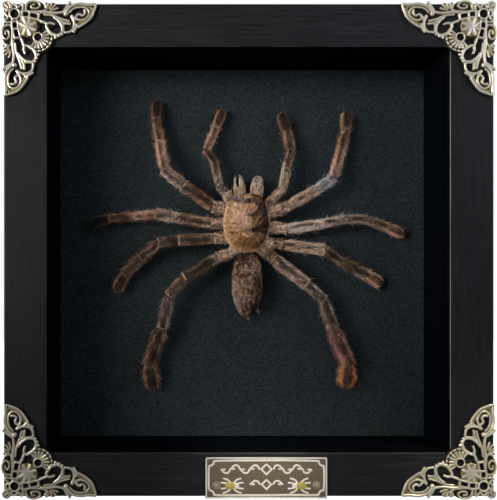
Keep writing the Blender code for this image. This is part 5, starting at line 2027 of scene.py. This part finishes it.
@dataclass
class BoxFrame:
    """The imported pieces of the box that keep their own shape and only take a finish."""

    nodes: dict[str, Object]
    finishes: dict[str, Finish] = field(
        default_factory=lambda: {
            "glass_pane": GLASS,
            "mount_board": PAPER,
            "backing_board": BACKING,
            "sawtooth_hanger": ZINC,
        }
    )

    def rail_paint(self, name: str) -> PaintedWood:
        """The paint of one rail, with its grain along it and a painted highlight along its inner front edge.
        """
        low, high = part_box(name)
        edges = {"rail_top": low.z, "rail_bottom": high.z, "rail_left": high.x, "rail_right": low.x}
        look = {
            "edge_at": edges[name],
            "front_y": low.y,
            # Strength of each rail's painted highlight along its inner front edge
            "worn": {"rail_bottom": 0.2, "rail_right": 0.8}.get(name, 0.0),
        }
        finish = f"satin_black_paint_{name}"
        if name in ("rail_top", "rail_bottom"):
            # The top and bottom rails take lighter paint than the side rails, as painted light
            return PaintedWood(finish, "painted_wood", Runs.LEVEL, "17181c", "393b40", **look)
        return PaintedWood(finish, "painted_wood", Runs.UPRIGHT, **look)

    def build(self) -> None:
        """Gives every kept node its finish."""
        for name, node in self.nodes.items():
            finish = self.finishes.get(name)
            if name.startswith("rail"):
                finish = self.rail_paint(name)
            elif name.startswith("spacer"):
                finish = LINER
            elif name.startswith(("framer_point", "hanger_rivet")):
                finish = ZINC
            if finish:
                for slot in node.material_slots:
                    slot.material = finish.material()
                LOG.info("%s: %s", name, finish.name)
        self.nodes["glass_pane"].visible_shadow = False


# The studio


@dataclass
class Studio:
    """Camera, lights, world and floor."""

    places: Places
    camera_left: float = 28 * MM
    camera_below: float = 12 * MM
    camera_ahead: float = 243 * MM
    view_size: float = 203.8 * MM
    shift: tuple[float, float] = (0.1367, 0.059)
    sensor: float = 36.0

    def camera(self) -> None:
        """Looks straight at the frame from a little left of and below its middle."""
        data = bpy.data.cameras.new("camera")
        data.sensor_width = self.sensor
        data.lens = self.sensor * self.camera_ahead / self.view_size
        data.shift_x, data.shift_y = self.shift
        data.clip_start, data.clip_end = 0.01, 10.0
        obj = new_object("camera", data)
        obj.location = (
            -self.camera_left, self.places.front_y - self.camera_ahead,
            self.places.centre_z - self.camera_below,
        )
        obj.rotation_euler = (math.radians(90), 0.0, 0.0)
        bpy.context.scene.camera = obj

    def light(
        self,
        name: str,
        place: Sequence[float],
        size: Sequence[float],
        power: float,
        tint: str,
        aim: Sequence[float] = (0.0, 0.0, 0.0),
        spread: float = 180.0,
    ) -> None:
        """A soft light that faces the frame.

        Args:
            name: Name of the light.
            place: Where it stands, in metres from the middle of the frame's front.
            size: Its width and height in metres.
            power: Its power in watts.
            tint: Its colour.
            aim: What it points at, in metres from the middle of the frame's front.
            spread: How wide its beam is, in degrees.
        """
        data = bpy.data.lights.new(name, "AREA")
        data.shape = "RECTANGLE"
        data.size, data.size_y = size
        data.energy = power
        data.color = linear(tint)[:3]
        data.spread = math.radians(spread)
        obj = new_object(name, data)
        middle = Vector((0.0, self.places.front_y, self.places.centre_z))
        obj.location = middle + Vector(place)
        way = middle + Vector(aim) - obj.location
        obj.rotation_euler = way.to_track_quat("-Z", "Y").to_euler()
        obj.visible_camera = False

    def world(self) -> None:
        """White to the eye, and a dim even light: darker in front of the glass, brighter behind the back."""
        world = bpy.data.worlds.new("studio")
        bpy.context.scene.world = world
        world.use_nodes = True
        tree = world.node_tree
        node = partial(add_node, tree)
        ahead = node("SeparateXYZ", (node("TexCoord", out="Generated"),), "Y")
        before = node("MapRange", (ahead, -0.78, -0.4, 0.0, 0.176))
        behind = node("MapRange", (ahead, 0.05, 0.35, 0.0, 0.6))
        strength = node("Math", (before, behind), operation="ADD")
        dim = node("Background", {"Color": linear("eef2f6"), "Strength": strength})
        white = node("Background", {"Color": linear("ffffff"), "Strength": 1.0})
        seen = node("LightPath", out="Is Camera Ray")
        mixed = node("MixShader", (seen, dim, white))
        feed(tree.nodes["World Output"], {"Surface": mixed})

    def floor(self) -> None:
        """A pale floor, well below the hanging frame."""
        bpy.ops.mesh.primitive_plane_add(size=6.0, location=(0.0, 0.0, self.places.floor_z))
        floor = active()
        floor.name = "studio_floor"
        floor.visible_diffuse = floor.visible_glossy = floor.visible_transmission = False
        material = bpy.data.materials.new("white_floor")
        material.use_nodes = True
        look = {
            "Base Color": linear("fbfbfb"),
            "Roughness": 0.8,
            "Emission Color": linear("ffffff"),
            "Emission Strength": 0.9,
        }
        feed(material.node_tree.nodes["Principled BSDF"], look)
        floor.data.materials.append(material)

    def build(self) -> None:
        """Sets up the whole studio."""
        self.camera()
        self.world()
        self.floor()
        key_aim, plate_aim, corner_aim = (0.09, 0.0, 0.16), (0.007, 0.0, -0.091), (0.085, 0.0, -0.085)
        self.light("key_window", (-0.72, -0.66, 0.22), (0.56, 0.40), 0.9, "fffaf5", key_aim, 42.0)
        self.light("right_fill", (0.85, -0.6, 0.32), (0.5, 0.5), 2.1, "eef3ff")
        self.light("plate_lamp", (0.12, -0.3, 0.2), (0.04, 0.03), 0.006, "fff8ee", plate_aim, 9.0)
        self.light("corner_lamp", (0.25, -0.3, 0.2), (0.04, 0.04), 0.004, "fff4dc", corner_aim, 9.0)
        bpy.context.scene.view_settings.view_transform = "Standard"


def main() -> None:
    """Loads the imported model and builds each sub-assembly."""
    logging.basicConfig(level=logging.INFO, format="%(message)s")
    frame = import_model()
    bpy.ops.object.select_all(action="DESELECT")
    places = Places.read()
    Studio(places).build()
    BoxFrame(frame["nodes"]).build()
    FiligreeCorner().build(places)
    NamePlate().build()
    Tarantula(places).build()


if __name__ == "__main__":
    main()
